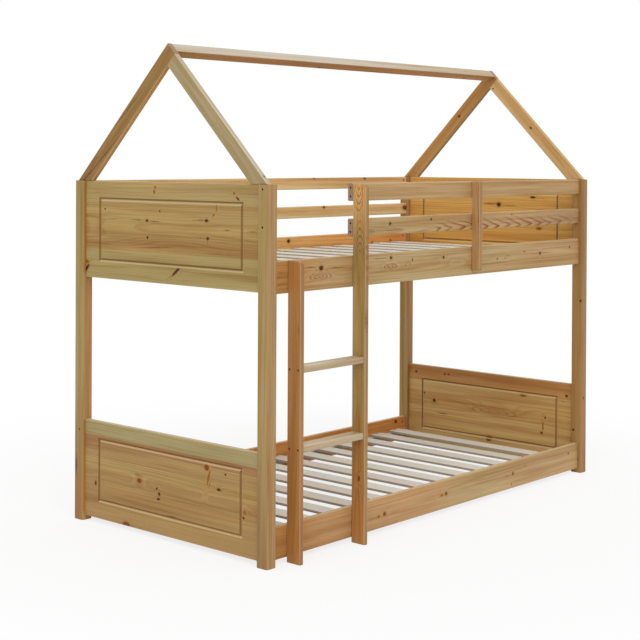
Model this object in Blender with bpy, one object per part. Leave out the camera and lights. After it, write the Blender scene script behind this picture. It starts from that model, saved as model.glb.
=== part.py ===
"""House bunk bed of varnished pine, in metres, with Z up and the ladder on the -Y side.

Four posts carry two slatted decks. Panels close both ends, guard boards fence the upper deck, a ladder
stands against the front rails beside the entry, and four rafters with a ridge draw a gable roof.

Places are measured from the corner of the bed under its front left post: X runs along the bed, Y towards
its back. One empty carries every piece and puts the middle of the footprint at the origin.
"""
import math

import bpy
import bmesh
from mathutils import Matrix, Vector

# The whole bed
BED_LENGTH = 1.970
BED_DEPTH = 0.980
TOUCH_GAP = 0.0003
CUT_OVERRUN = 0.010

# Posts, which end level with the top guards
POST_WIDTH = 0.044
POST_DEPTH = 0.050
POST_EDGE_RADIUS = 0.007

# Side rails, set in from the posts' outer side faces
RAIL_HEIGHT = 0.108
RAIL_THICKNESS = 0.022
RAIL_INSET = 0.017
RAIL_EDGE_RADIUS = 0.005
LOWER_RAIL_TOP = 0.125
UPPER_RAIL_TOP = 0.993

# Guard boards, in the rails' planes
GUARD_THICKNESS = 0.022
GUARD_EDGE_RADIUS = 0.005
FRONT_GUARD_HEIGHT = 0.062
BACK_GUARD_HEIGHT = 0.050
MIDDLE_GUARD_ABOVE_RAIL = 0.127
GUARD_SPACING = 0.123

# Upright that ties the front guards to the upper rail
SUPPORT_PLACE = 1.145
SUPPORT_THICKNESS = 0.022
SUPPORT_DEPTH = 0.036
SUPPORT_BELOW_RAIL_TOP = 0.091
SUPPORT_CORNER_RADIUS = 0.010

# End panels, housed in grooves in the posts
PANEL_THICKNESS = 0.018
PANEL_HEIGHT = 0.352
PANEL_INSET = 0.011
PANEL_EDGE_RADIUS = 0.0015
LOWER_PANEL_BOTTOM = 0.018
HOUSING_DEPTH = 0.008

# Moulding line routed into both faces of a panel
ROUT_WIDTH = 0.014
ROUT_FLOOR_WIDTH = 0.002
ROUT_DEPTH = 0.0045
ROUT_FROM_PANEL_EDGE = 0.066
ROUT_FROM_POST = 0.080

# Ladder
STILE_THICKNESS = 0.019
STILE_DEPTH = 0.058
STILE_TOP_RADIUS = 0.020
STILE_EDGE_RADIUS = 0.003
LADDER_PLACE = 0.110
TREAD_LENGTH = 0.310
TREAD_THICKNESS = 0.0215
TREAD_SETBACK = 0.005
TREAD_EDGE_RADIUS = 0.004
LOWER_TREAD_TOP = 0.3855
UPPER_TREAD_TOP = 0.647

# Roof frame
ROOF_PITCH_DEGREES = 45
RAFTER_WIDTH = 0.055
RAFTER_THICKNESS = 0.0195
RAFTER_END_INSET = 0.006
RAFTER_FOOT_INSET = 0.011
RAFTER_EDGE_RADIUS = 0.0025
RIDGE_WIDTH = 0.039
RIDGE_THICKNESS = 0.030

# Slatted decks
SLATS_PER_DECK = 14
SLAT_WIDTH = 0.070
SLAT_THICKNESS = 0.010
SLAT_EDGE_RADIUS = 0.002
SLAT_END_CLEARANCE = 0.002
FIRST_SLAT_FROM_END = 0.060
LAST_SLAT_FROM_END = 0.098
LOWER_SLATS_BELOW_RAIL_TOP = 0.0505
UPPER_SLATS_BELOW_RAIL_TOP = 0.048
CLEAT_WIDTH = 0.020
CLEAT_HEIGHT = 0.022
CLEAT_EDGE_RADIUS = 0.001

# Bolts from a post into a rail or a back guard, drawn tight by a nut in a cross hole
NUT_HOLE_RADIUS = 0.0045
NUT_HOLE_DEPTH = 0.016
NUT_FROM_POST = 0.072
GUARD_NUT_FROM_POST = 0.023
NUT_BELOW_RAIL_TOP = 0.033
RAIL_BOLT_RADIUS = 0.0035
RAIL_BOLT_IN_POST = 0.030

# Dowel at each end of a guard, and the bolt right through a front post
GUARD_BOLT_RADIUS = 0.004
GUARD_BOLT_IN_GUARD = 0.040
GUARD_DOWEL_RADIUS = 0.004
GUARD_DOWEL_DEPTH = 0.025
GUARD_HOLE_FROM_EDGE = 0.016

# Countersunk screws
SCREW_HEAD_RADIUS = 0.004
SCREW_HEAD_DEPTH = 0.005
SCREW_SHANK_RADIUS = 0.0025
SCREW_BITE = 0.015
TREAD_SCREW_FROM_STILE_EDGE = 0.010
STILE_SCREW_BELOW_RAIL_TOP = 0.055
RAFTER_SCREW_FROM_POST_SIDE = 0.037
RAFTER_SCREW_SEAT = 0.012
RAFTER_POCKET_FROM_JOINT = 0.016
RAFTER_POCKET_FROM_UNDERSIDE = 0.011
RAFTER_POCKET_DEPTH = 0.010
SLAT_SCREW_RADIUS = 0.002

# Fineness of the rounded shapes
EDGE_SEGMENTS = 3
CORNER_SEGMENTS = 6
HOLE_SIDES = 12
ROUND_PROFILE_SHARE = 0.5

# Pine finishes: linear colour and roughness
FRAME_PINE = ((0.42, 0.29, 0.14), 0.38)
PANEL_PINE = ((0.41, 0.32, 0.13), 0.36)
LADDER_PINE = ((0.40, 0.24, 0.11), 0.38)
SLAT_PINE = ((0.69, 0.62, 0.52), 0.62)

# Places that several pieces share
RAIL_FRONT = RAIL_INSET
RAIL_MIDDLE = RAIL_INSET + RAIL_THICKNESS / 2
BETWEEN_POSTS_START = POST_WIDTH + TOUCH_GAP
BETWEEN_POSTS_END = BED_LENGTH - BETWEEN_POSTS_START
LADDER_BACK = RAIL_FRONT - TOUCH_GAP
LADDER_FRONT = LADDER_BACK - STILE_DEPTH
LEFT_STILE_END = LADDER_PLACE + STILE_THICKNESS
RIGHT_STILE_START = LEFT_STILE_END + TREAD_LENGTH + 2 * TOUCH_GAP
LEFT_STILE_MIDDLE = LADDER_PLACE + STILE_THICKNESS / 2
RIGHT_STILE_MIDDLE = RIGHT_STILE_START + STILE_THICKNESS / 2
SUPPORT_MIDDLE = SUPPORT_PLACE + SUPPORT_THICKNESS / 2
SUPPORT_BOTTOM = UPPER_RAIL_TOP - SUPPORT_BELOW_RAIL_TOP
MIDDLE_GUARD_TOP = UPPER_RAIL_TOP + MIDDLE_GUARD_ABOVE_RAIL
POST_HEIGHT = MIDDLE_GUARD_TOP + GUARD_SPACING
LOWER_PANEL_TOP = LOWER_PANEL_BOTTOM + PANEL_HEIGHT
GUARD_TOPS = (POST_HEIGHT, MIDDLE_GUARD_TOP)
RAIL_TOPS = (LOWER_RAIL_TOP, UPPER_RAIL_TOP)

ALONG = Vector((1, 0, 0))
ACROSS = Vector((0, 1, 0))
UP = Vector((0, 0, 1))


def clear_scene():
    for item in list(bpy.data.objects):
        bpy.data.objects.remove(item, do_unlink=True)


def new_finish(name, finish):
    colour, roughness = finish
    material = bpy.data.materials.new(name)
    material.use_nodes = True
    shader = material.node_tree.nodes["Principled BSDF"]
    shader.inputs["Base Color"].default_value = (*colour, 1)
    shader.inputs["Roughness"].default_value = roughness
    shader.inputs["Metallic"].default_value = 0
    return material


def mirrored(distance, is_back):
    """A distance from the front side of the bed, or the same distance from its back side."""
    return BED_DEPTH - distance if is_back else distance


def from_left(distance, is_right):
    """A distance from the left end of the bed, or the same distance from its right end."""
    return BED_LENGTH - distance if is_right else distance


class Bed:
    """Puts finished meshes into the scene under one empty."""

    def __init__(self):
        ladder_proud = STILE_DEPTH + TOUCH_GAP - RAIL_INSET
        self.root = bpy.data.objects.new("bed_root", None)
        self.root.location = (-BED_LENGTH / 2, (ladder_proud - BED_DEPTH) / 2, 0)
        bpy.context.collection.objects.link(self.root)
        self.frame = new_finish("frame_pine", FRAME_PINE)
        self.panel = new_finish("panel_pine", PANEL_PINE)
        self.ladder = new_finish("ladder_pine", LADDER_PINE)
        self.slat = new_finish("slat_pine", SLAT_PINE)

    def place(self, name, mesh, location):
        item = bpy.data.objects.new(name, mesh)
        bpy.context.collection.objects.link(item)
        item.parent = self.root
        item.location = location
        return item

    def add(self, name, shape, location, finish):
        """A piece from a bmesh, which is used up."""
        mesh = bpy.data.meshes.new(name)
        shape.to_mesh(mesh)
        shape.free()
        mesh.materials.append(finish)
        return self.place(name, mesh, location)

    def cut(self, piece, cutter_shape):
        """Take a cutter's bodies, given in the bed's own places, out of a piece."""
        mesh = bpy.data.meshes.new(piece.name + "_cutter")
        cutter_shape.to_mesh(mesh)
        cutter_shape.free()
        cutter = self.place(mesh.name, mesh, (0, 0, 0))
        cutter.hide_render = True
        cutter.display_type = "WIRE"
        modifier = piece.modifiers.new("holes and grooves", "BOOLEAN")
        modifier.operation = "DIFFERENCE"
        modifier.solver = "EXACT"
        modifier.object = cutter


# Shapes

def ease(shape, edges, radius):
    bmesh.ops.bevel(shape, geom=edges, offset=radius, segments=EDGE_SEGMENTS,
                    profile=ROUND_PROFILE_SHARE, affect="EDGES")


def edges_along(shape, direction):
    """The edges that run with the grain."""
    found = []
    for edge in shape.edges:
        run = (edge.verts[1].co - edge.verts[0].co).normalized()
        if run.cross(direction).length < abs(run.dot(direction)):
            found.append(edge)
    return found


def board_shape(size, grain, edge_radius):
    """A board centred on zero, with its long edges eased."""
    shape = bmesh.new()
    bmesh.ops.create_cube(shape, size=1)
    bmesh.ops.scale(shape, vec=size, verts=shape.verts)
    ease(shape, edges_along(shape, grain), edge_radius)
    return shape


def profile_shape(outline, thickness):
    """A board from X = 0 to its thickness whose faces have the outline's Y and Z."""
    shape = bmesh.new()
    near = [shape.verts.new((0, y, z)) for y, z in outline]
    far = [shape.verts.new((thickness, y, z)) for y, z in outline]
    shape.faces.new(near)
    shape.faces.new(far)
    for index, corner in enumerate(near):
        shape.faces.new((near[index - 1], corner, far[index], far[index - 1]))
    bmesh.ops.recalc_face_normals(shape, faces=shape.faces)
    return shape


def outline_edges(shape):
    """The edges all round the two outlined faces of a profile shape."""
    return [edge for edge in shape.edges if edge.verts[0].co.x == edge.verts[1].co.x]


def rounded_corner(centre, radius, start_degrees, end_degrees):
    """Points on an arc in the Y-Z plane, from one angle to the other."""
    points = []
    for step in range(CORNER_SEGMENTS + 1):
        angle = math.radians(start_degrees + (end_degrees - start_degrees) * step / CORNER_SEGMENTS)
        points.append((centre[0] + radius * math.cos(angle), centre[1] + radius * math.sin(angle)))
    return points


def add_box(shape, low, high):
    """A cutter block from corner to corner."""
    low = Vector(low)
    high = Vector(high)
    place = Matrix.Translation((low + high) / 2) @ Matrix.Diagonal((*(high - low), 1))
    bmesh.ops.create_cube(shape, size=1, matrix=place)


def add_drill(shape, mouth, direction, steps):
    """A stepped drill. Each step is a radius and the depth below the mouth that it reaches."""
    turn = direction.to_track_quat("Z", "Y")
    mouth = Vector(mouth)
    rings = []
    depth = -CUT_OVERRUN
    for radius, reach in steps:
        for level in (depth, reach):
            ring = []
            for side in range(HOLE_SIDES):
                angle = math.tau * side / HOLE_SIDES
                point = Vector((radius * math.cos(angle), radius * math.sin(angle), level))
                ring.append(shape.verts.new(mouth + turn @ point))
            rings.append(ring)
        depth = reach
    faces = [shape.faces.new(reversed(rings[0])), shape.faces.new(rings[-1])]
    for upper, lower in zip(rings, rings[1:]):
        for side in range(HOLE_SIDES):
            corners = (upper[side - 1], upper[side], lower[side], lower[side - 1])
            faces.append(shape.faces.new(corners))
    bmesh.ops.recalc_face_normals(shape, faces=faces)


def add_rout(shape, face_x, into, low, high):
    """A V-shaped moulding cutter around a rectangle given by the Y and Z of its centre line's corners."""
    slope = (ROUT_WIDTH - ROUT_FLOOR_WIDTH) / 2 / ROUT_DEPTH
    half_mouth = ROUT_WIDTH / 2 + slope * CUT_OVERRUN
    half_floor = ROUT_FLOOR_WIDTH / 2
    loops = []
    for spread, depth in ((half_mouth, -CUT_OVERRUN), (half_floor, ROUT_DEPTH),
                          (-half_floor, ROUT_DEPTH), (-half_mouth, -CUT_OVERRUN)):
        x = face_x + into * depth
        corners = ((low[0] - spread, low[1] - spread), (high[0] + spread, low[1] - spread),
                   (high[0] + spread, high[1] + spread), (low[0] - spread, high[1] + spread))
        loops.append([shape.verts.new((x, y, z)) for y, z in corners])
    faces = []
    for index, loop in enumerate(loops):
        before = loops[index - 1]
        for side in range(len(loop)):
            faces.append(shape.faces.new((before[side - 1], before[side], loop[side], loop[side - 1])))
    bmesh.ops.recalc_face_normals(shape, faces=faces)


def add_board(bed, name, low, high, grain, edge_radius, finish):
    low = Vector(low)
    high = Vector(high)
    shape = board_shape(high - low, grain, edge_radius)
    return bed.add(name, shape, (low + high) / 2, finish)


# Posts, with the grooves and bores that take everything else

def post_cutter(is_right, is_back):
    shape = bmesh.new()
    inward = -1 if is_right else 1
    post_end = from_left(0, is_right)
    inner_face = from_left(POST_WIDTH, is_right)

    # Housings for the two end panels
    panel_outer = from_left(PANEL_INSET - TOUCH_GAP, is_right)
    panel_inner = from_left(PANEL_INSET + PANEL_THICKNESS + TOUCH_GAP, is_right)
    housing_floor = mirrored(POST_DEPTH - HOUSING_DEPTH, is_back)
    housing_mouth = mirrored(POST_DEPTH + CUT_OVERRUN, is_back)
    xs = sorted((panel_outer, panel_inner))
    ys = sorted((housing_floor, housing_mouth))
    lower = (LOWER_PANEL_BOTTOM - TOUCH_GAP, LOWER_PANEL_TOP + TOUCH_GAP)
    upper = (POST_HEIGHT - PANEL_HEIGHT - TOUCH_GAP, POST_HEIGHT + CUT_OVERRUN)
    for bottom, top in (lower, upper):
        add_box(shape, (xs[0], ys[0], bottom), (xs[1], ys[1], top))

    # Bolts and dowels of the guards, bolts of the rails
    y = mirrored(RAIL_MIDDLE, is_back)
    guard_height = BACK_GUARD_HEIGHT if is_back else FRONT_GUARD_HEIGHT
    for guard_top in GUARD_TOPS:
        bolt = guard_top - GUARD_HOLE_FROM_EDGE
        dowel = guard_top - guard_height + GUARD_HOLE_FROM_EDGE
        if is_back:
            add_drill(shape, (inner_face, y, bolt), ALONG * -inward, ((RAIL_BOLT_RADIUS, RAIL_BOLT_IN_POST),))
        else:
            through = ((GUARD_BOLT_RADIUS, POST_WIDTH + CUT_OVERRUN),)
            add_drill(shape, (post_end, y, bolt), ALONG * inward, through)
        add_drill(shape, (inner_face, y, dowel), ALONG * -inward, ((GUARD_DOWEL_RADIUS, GUARD_DOWEL_DEPTH),))
    for rail_top in RAIL_TOPS:
        bolt = rail_top - NUT_BELOW_RAIL_TOP
        add_drill(shape, (inner_face, y, bolt), ALONG * -inward, ((RAIL_BOLT_RADIUS, RAIL_BOLT_IN_POST),))

    # Bite of the screw that comes down through the rafter's foot
    x = from_left(RAFTER_END_INSET + RAFTER_THICKNESS / 2, is_right)
    y = mirrored(RAFTER_SCREW_FROM_POST_SIDE, is_back)
    add_drill(shape, (x, y, POST_HEIGHT), -UP, ((SCREW_SHANK_RADIUS, SCREW_BITE),))
    return shape


def add_posts(bed):
    for is_back in (False, True):
        for is_right in (False, True):
            name = "post_" + ("back" if is_back else "front") + ("_right" if is_right else "_left")
            xs = sorted((from_left(0, is_right), from_left(POST_WIDTH, is_right)))
            ys = sorted((mirrored(0, is_back), mirrored(POST_DEPTH, is_back)))
            post = add_board(bed, name, (xs[0], ys[0], 0), (xs[1], ys[1], POST_HEIGHT),
                             UP, POST_EDGE_RADIUS, bed.frame)
            bed.cut(post, post_cutter(is_right, is_back))


# End panels

def add_panels(bed):
    groove = POST_DEPTH - HOUSING_DEPTH + TOUCH_GAP
    for level, bottom in (("lower", LOWER_PANEL_BOTTOM), ("upper", POST_HEIGHT - PANEL_HEIGHT)):
        top = bottom + PANEL_HEIGHT
        rout_low = (POST_DEPTH + ROUT_FROM_POST, bottom + ROUT_FROM_PANEL_EDGE)
        rout_high = (BED_DEPTH - POST_DEPTH - ROUT_FROM_POST, top - ROUT_FROM_PANEL_EDGE)
        for is_right in (False, True):
            xs = sorted(from_left(x, is_right) for x in (PANEL_INSET, PANEL_INSET + PANEL_THICKNESS))
            name = "end_panel_" + level + ("_right" if is_right else "_left")
            panel = add_board(bed, name, (xs[0], groove, bottom), (xs[1], BED_DEPTH - groove, top),
                              ACROSS, PANEL_EDGE_RADIUS, bed.panel)
            shape = bmesh.new()
            add_rout(shape, xs[0], 1, rout_low, rout_high)
            add_rout(shape, xs[1], -1, rout_low, rout_high)
            bed.cut(panel, shape)


# Side rails and guards

def add_end_bores(shape, start, end, y, z, radius, depth):
    """The same bore into both ends of a board that lies along the bed."""
    add_drill(shape, (start, y, z), ALONG, ((radius, depth),))
    add_drill(shape, (end, y, z), -ALONG, ((radius, depth),))


def add_cross_nuts(shape, face_y, inward, from_post, z, bolt_y):
    """Near both ends of a board, the cross hole of a nut and the bore of the bolt that it draws tight."""
    for is_right in (False, True):
        mouth = (from_left(POST_WIDTH + from_post, is_right), face_y, z)
        add_drill(shape, mouth, inward, ((NUT_HOLE_RADIUS, NUT_HOLE_DEPTH),))
    bore = from_post - TOUCH_GAP - NUT_HOLE_RADIUS - RAIL_BOLT_RADIUS
    add_end_bores(shape, BETWEEN_POSTS_START, BETWEEN_POSTS_END, bolt_y, z, RAIL_BOLT_RADIUS, bore)


def add_back_screw(shape, x, board_back, z, thickness):
    """A screw that goes in from the hidden side of a front board towards the ladder side."""
    steps = ((SCREW_HEAD_RADIUS, SCREW_HEAD_DEPTH), (SCREW_SHANK_RADIUS, thickness + CUT_OVERRUN))
    add_drill(shape, (x, board_back, z), -ACROSS, steps)


def guard_screw_levels():
    return [top - FRONT_GUARD_HEIGHT / 2 for top in GUARD_TOPS]


def rail_screw_levels():
    return [top - STILE_SCREW_BELOW_RAIL_TOP for top in RAIL_TOPS]


def add_bites(shape, x, levels):
    """Where the screws from the front boards bite into the back of an upright."""
    for z in levels:
        add_drill(shape, (x, LADDER_BACK, z), -ACROSS, ((SCREW_SHANK_RADIUS, SCREW_BITE),))


def add_rails(bed):
    for level, top in (("lower", LOWER_RAIL_TOP), ("upper", UPPER_RAIL_TOP)):
        for is_back in (False, True):
            ys = sorted((mirrored(RAIL_INSET, is_back), mirrored(RAIL_INSET + RAIL_THICKNESS, is_back)))
            name = "side_rail_" + level + ("_back" if is_back else "_front")
            rail = add_board(bed, name, (BETWEEN_POSTS_START, ys[0], top - RAIL_HEIGHT),
                             (BETWEEN_POSTS_END, ys[1], top), ALONG, RAIL_EDGE_RADIUS, bed.frame)
            shape = bmesh.new()
            inward = -ACROSS if is_back else ACROSS
            add_cross_nuts(shape, mirrored(RAIL_INSET, is_back), inward, NUT_FROM_POST,
                           top - NUT_BELOW_RAIL_TOP, mirrored(RAIL_MIDDLE, is_back))
            if not is_back:
                screwed = [LEFT_STILE_MIDDLE, RIGHT_STILE_MIDDLE]
                if level == "upper":
                    screwed.append(SUPPORT_MIDDLE)
                for x in screwed:
                    add_back_screw(shape, x, ys[1], top - STILE_SCREW_BELOW_RAIL_TOP, RAIL_THICKNESS)
            bed.cut(rail, shape)


def add_guards(bed):
    for level, top in (("top", POST_HEIGHT), ("middle", MIDDLE_GUARD_TOP)):
        for is_back in (False, True):
            height = BACK_GUARD_HEIGHT if is_back else FRONT_GUARD_HEIGHT
            start = BETWEEN_POSTS_START if is_back else RIGHT_STILE_START
            ys = sorted((mirrored(RAIL_INSET, is_back), mirrored(RAIL_INSET + GUARD_THICKNESS, is_back)))
            name = "guard_" + level + ("_back" if is_back else "_front")
            guard = add_board(bed, name, (start, ys[0], top - height), (BETWEEN_POSTS_END, ys[1], top),
                              ALONG, GUARD_EDGE_RADIUS, bed.frame)
            shape = bmesh.new()
            y = mirrored(RAIL_MIDDLE, is_back)
            bolt = top - GUARD_HOLE_FROM_EDGE
            dowel = top - height + GUARD_HOLE_FROM_EDGE
            add_end_bores(shape, start, BETWEEN_POSTS_END, y, dowel, GUARD_DOWEL_RADIUS, GUARD_DOWEL_DEPTH)
            if is_back:
                add_cross_nuts(shape, ys[0], ACROSS, GUARD_NUT_FROM_POST, bolt, y)
            else:
                add_end_bores(shape, start, BETWEEN_POSTS_END, y, bolt, GUARD_BOLT_RADIUS, GUARD_BOLT_IN_GUARD)
                for x in (RIGHT_STILE_MIDDLE, SUPPORT_MIDDLE):
                    add_back_screw(shape, x, ys[1], top - height / 2, GUARD_THICKNESS)
            bed.cut(guard, shape)


def add_support(bed):
    """The short upright on the faces of the guards and the upper rail, its lower front corner rounded."""
    height = POST_HEIGHT - SUPPORT_BOTTOM
    radius = SUPPORT_CORNER_RADIUS
    outline = rounded_corner((radius, radius), radius, 180, 270)
    outline += [(SUPPORT_DEPTH, 0), (SUPPORT_DEPTH, height), (0, height)]
    shape = profile_shape(outline, SUPPORT_THICKNESS)
    ease(shape, outline_edges(shape), STILE_EDGE_RADIUS)
    place = (SUPPORT_PLACE, LADDER_BACK - SUPPORT_DEPTH, SUPPORT_BOTTOM)
    support = bed.add("guard_support", shape, place, bed.ladder)
    holes = bmesh.new()
    add_bites(holes, SUPPORT_MIDDLE, [*guard_screw_levels(), UPPER_RAIL_TOP - STILE_SCREW_BELOW_RAIL_TOP])
    bed.cut(support, holes)


# Ladder

def tread_screws():
    """The Y places of the two screws in each end of a tread."""
    return (LADDER_FRONT + TREAD_SCREW_FROM_STILE_EDGE, LADDER_BACK - TREAD_SCREW_FROM_STILE_EDGE)


def tread_levels():
    return [top - TREAD_THICKNESS / 2 for top in (LOWER_TREAD_TOP, UPPER_TREAD_TOP)]


def add_stile(bed, name, start, height, outward, bites):
    """A ladder side with its front top corner rounded and two screws through it at each tread."""
    radius = STILE_TOP_RADIUS
    outline = [(0, 0), (STILE_DEPTH, 0), (STILE_DEPTH, height)]
    outline += rounded_corner((radius, height - radius), radius, 90, 180)
    shape = profile_shape(outline, STILE_THICKNESS)
    ease(shape, outline_edges(shape), STILE_EDGE_RADIUS)
    stile = bed.add(name, shape, (start, LADDER_FRONT, 0), bed.ladder)
    holes = bmesh.new()
    outer_face = start + STILE_THICKNESS if outward > 0 else start
    steps = ((SCREW_HEAD_RADIUS, SCREW_HEAD_DEPTH), (SCREW_SHANK_RADIUS, STILE_THICKNESS + CUT_OVERRUN))
    for z in tread_levels():
        for y in tread_screws():
            add_drill(holes, (outer_face, y, z), ALONG * -outward, steps)
    add_bites(holes, start + STILE_THICKNESS / 2, bites)
    bed.cut(stile, holes)


def add_ladder(bed):
    add_stile(bed, "ladder_stile_left", LADDER_PLACE, UPPER_RAIL_TOP, -1, rail_screw_levels())
    bites = [*rail_screw_levels(), *guard_screw_levels()]
    add_stile(bed, "ladder_stile_right", RIGHT_STILE_START, POST_HEIGHT, 1, bites)
    start = LEFT_STILE_END + TOUCH_GAP
    end = start + TREAD_LENGTH
    for level, top in (("lower", LOWER_TREAD_TOP), ("upper", UPPER_TREAD_TOP)):
        tread = add_board(bed, "ladder_tread_" + level,
                          (start, LADDER_FRONT + TREAD_SETBACK, top - TREAD_THICKNESS),
                          (end, LADDER_BACK, top), ALONG, TREAD_EDGE_RADIUS, bed.ladder)
        holes = bmesh.new()
        for y in tread_screws():
            add_end_bores(holes, start, end, y, top - TREAD_THICKNESS / 2, SCREW_SHANK_RADIUS, SCREW_BITE)
        bed.cut(tread, holes)


# Roof frame, drawn in the Y-Z plane

def meeting_point(start, run, other_start, other_run):
    """Where two lines in the Y-Z plane cross."""
    offset = (other_start[0] - start[0], other_start[1] - start[1])
    turn = run[0] * other_run[1] - run[1] * other_run[0]
    along = (offset[0] * other_run[1] - offset[1] * other_run[0]) / turn
    return (start[0] + run[0] * along, start[1] + run[1] * along)


class Gable:
    """The lines of one gable: each rafter's outer edge, its inner edge and the level it stands on."""

    def __init__(self):
        pitch = math.radians(ROOF_PITCH_DEGREES)
        self.front_rise = (math.cos(pitch), math.sin(pitch))
        self.back_rise = (-math.cos(pitch), math.sin(pitch))
        self.into_front = (math.sin(pitch), -math.cos(pitch))
        self.into_back = (-math.sin(pitch), -math.cos(pitch))
        foot = POST_HEIGHT + TOUCH_GAP
        self.level = (1, 0)
        self.front_foot = (RAFTER_FOOT_INSET, foot)
        self.back_foot = (BED_DEPTH - RAFTER_FOOT_INSET, foot)
        self.apex = meeting_point(self.front_foot, self.front_rise, self.back_foot, self.back_rise)

    def shifted(self, point, way, distance):
        return (point[0] + way[0] * distance, point[1] + way[1] * distance)

    def back_rafter(self):
        """It runs through to the apex, and its end is flush with the front rafter's outer edge."""
        inner_start = self.shifted(self.back_foot, self.into_back, RAFTER_WIDTH)
        inner_foot = meeting_point(inner_start, self.back_rise, self.back_foot, self.level)
        inner_top = meeting_point(inner_start, self.back_rise, self.front_foot, self.front_rise)
        return [self.back_foot, self.apex, inner_top, inner_foot]

    def front_rafter(self):
        """Its end butts against the back rafter's inner edge."""
        inner_start = self.shifted(self.front_foot, self.into_front, RAFTER_WIDTH)
        inner_foot = meeting_point(inner_start, self.front_rise, self.front_foot, self.level)
        joint = self.shifted(self.back_foot, self.into_back, RAFTER_WIDTH + TOUCH_GAP)
        outer_top = meeting_point(self.front_foot, self.front_rise, joint, self.back_rise)
        inner_top = meeting_point(inner_start, self.front_rise, joint, self.back_rise)
        return [self.front_foot, outer_top, inner_top, inner_foot]

    def ridge(self):
        """Its upper face carries on from the back rafters' ends."""
        down_front = (-self.front_rise[0], -self.front_rise[1])
        lower = self.shifted(self.apex, down_front, RIDGE_WIDTH)
        return [self.apex, lower, self.shifted(lower, self.into_front, RIDGE_THICKNESS),
                self.shifted(self.apex, self.into_front, RIDGE_THICKNESS)]


def add_profile(bed, name, outline, start, thickness, grain, edge_radius):
    """A board with its outline in the bed's Y-Z plane, and its long edges eased."""
    corner = outline[0]
    local = [(y - corner[0], z - corner[1]) for y, z in outline]
    shape = profile_shape(local, thickness)
    ease(shape, edges_along(shape, grain), edge_radius)
    return bed.add(name, shape, (start, corner[0], corner[1]), bed.frame)


def rafter_cutter(gable, is_right, is_back):
    """The screw down into the post and, in a front rafter, the pocket screw up into the back one."""
    shape = bmesh.new()
    x = from_left(RAFTER_END_INSET + RAFTER_THICKNESS / 2, is_right)
    y = mirrored(RAFTER_SCREW_FROM_POST_SIDE, is_back)
    foot = gable.back_foot if is_back else gable.front_foot
    rise = gable.back_rise if is_back else gable.front_rise
    surface = meeting_point(foot, rise, (y, foot[1]), (0, 1))
    seat = surface[1] - foot[1] - RAFTER_SCREW_SEAT
    through = surface[1] - foot[1] + CUT_OVERRUN
    add_drill(shape, (x, y, surface[1]), -UP, ((SCREW_HEAD_RADIUS, seat), (SCREW_SHANK_RADIUS, through)))
    if not is_back:
        inner_x = from_left(RAFTER_END_INSET + RAFTER_THICKNESS, is_right)
        end = gable.front_rafter()[2]
        down = (-rise[0], -rise[1])
        pocket = gable.shifted(end, down, RAFTER_POCKET_FROM_JOINT)
        pocket = gable.shifted(pocket, gable.into_front, -RAFTER_POCKET_FROM_UNDERSIDE)
        outward = ALONG if is_right else -ALONG
        add_drill(shape, (inner_x, *pocket), outward, ((SCREW_HEAD_RADIUS, RAFTER_POCKET_DEPTH),))
    return shape


def add_roof(bed):
    gable = Gable()
    for is_right in (False, True):
        side = "_right" if is_right else "_left"
        faces = (RAFTER_END_INSET, RAFTER_END_INSET + RAFTER_THICKNESS)
        start = min(from_left(face, is_right) for face in faces)
        for is_back in (False, True):
            outline = gable.back_rafter() if is_back else gable.front_rafter()
            rise = gable.back_rise if is_back else gable.front_rise
            name = "rafter_" + ("back" if is_back else "front") + side
            rafter = add_profile(bed, name, outline, start, RAFTER_THICKNESS, Vector((0, *rise)),
                                 RAFTER_EDGE_RADIUS)
            bed.cut(rafter, rafter_cutter(gable, is_right, is_back))
    start = RAFTER_END_INSET + RAFTER_THICKNESS + TOUCH_GAP
    length = BED_LENGTH - 2 * start
    add_profile(bed, "ridge_beam", gable.ridge(), start, length, ALONG, RAFTER_EDGE_RADIUS)


# Slatted decks

def slat_mesh(bed):
    """One slat, centred on zero, with a screw hole over each cleat."""
    length = BED_DEPTH - 2 * (RAIL_INSET + RAIL_THICKNESS + SLAT_END_CLEARANCE)
    shape = board_shape((SLAT_WIDTH, length, SLAT_THICKNESS), ACROSS, SLAT_EDGE_RADIUS)
    slat = bed.add("slat_pattern", shape, (0, 0, 0), bed.slat)
    holes = bmesh.new()
    from_middle = BED_DEPTH / 2 - RAIL_INSET - RAIL_THICKNESS - CLEAT_WIDTH / 2
    through = ((SLAT_SCREW_RADIUS, SLAT_THICKNESS + CUT_OVERRUN),)
    for y in (-from_middle, from_middle):
        add_drill(holes, (0, y, SLAT_THICKNESS / 2), -UP, through)
    bed.cut(slat, holes)
    bpy.context.view_layer.update()
    cut_slat = slat.evaluated_get(bpy.context.evaluated_depsgraph_get())
    mesh = bpy.data.meshes.new_from_object(cut_slat)
    mesh.name = "slat"
    cutter = slat.modifiers[0].object
    for spent in (slat, cutter):
        bpy.data.objects.remove(spent, do_unlink=True)
    return mesh


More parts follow.
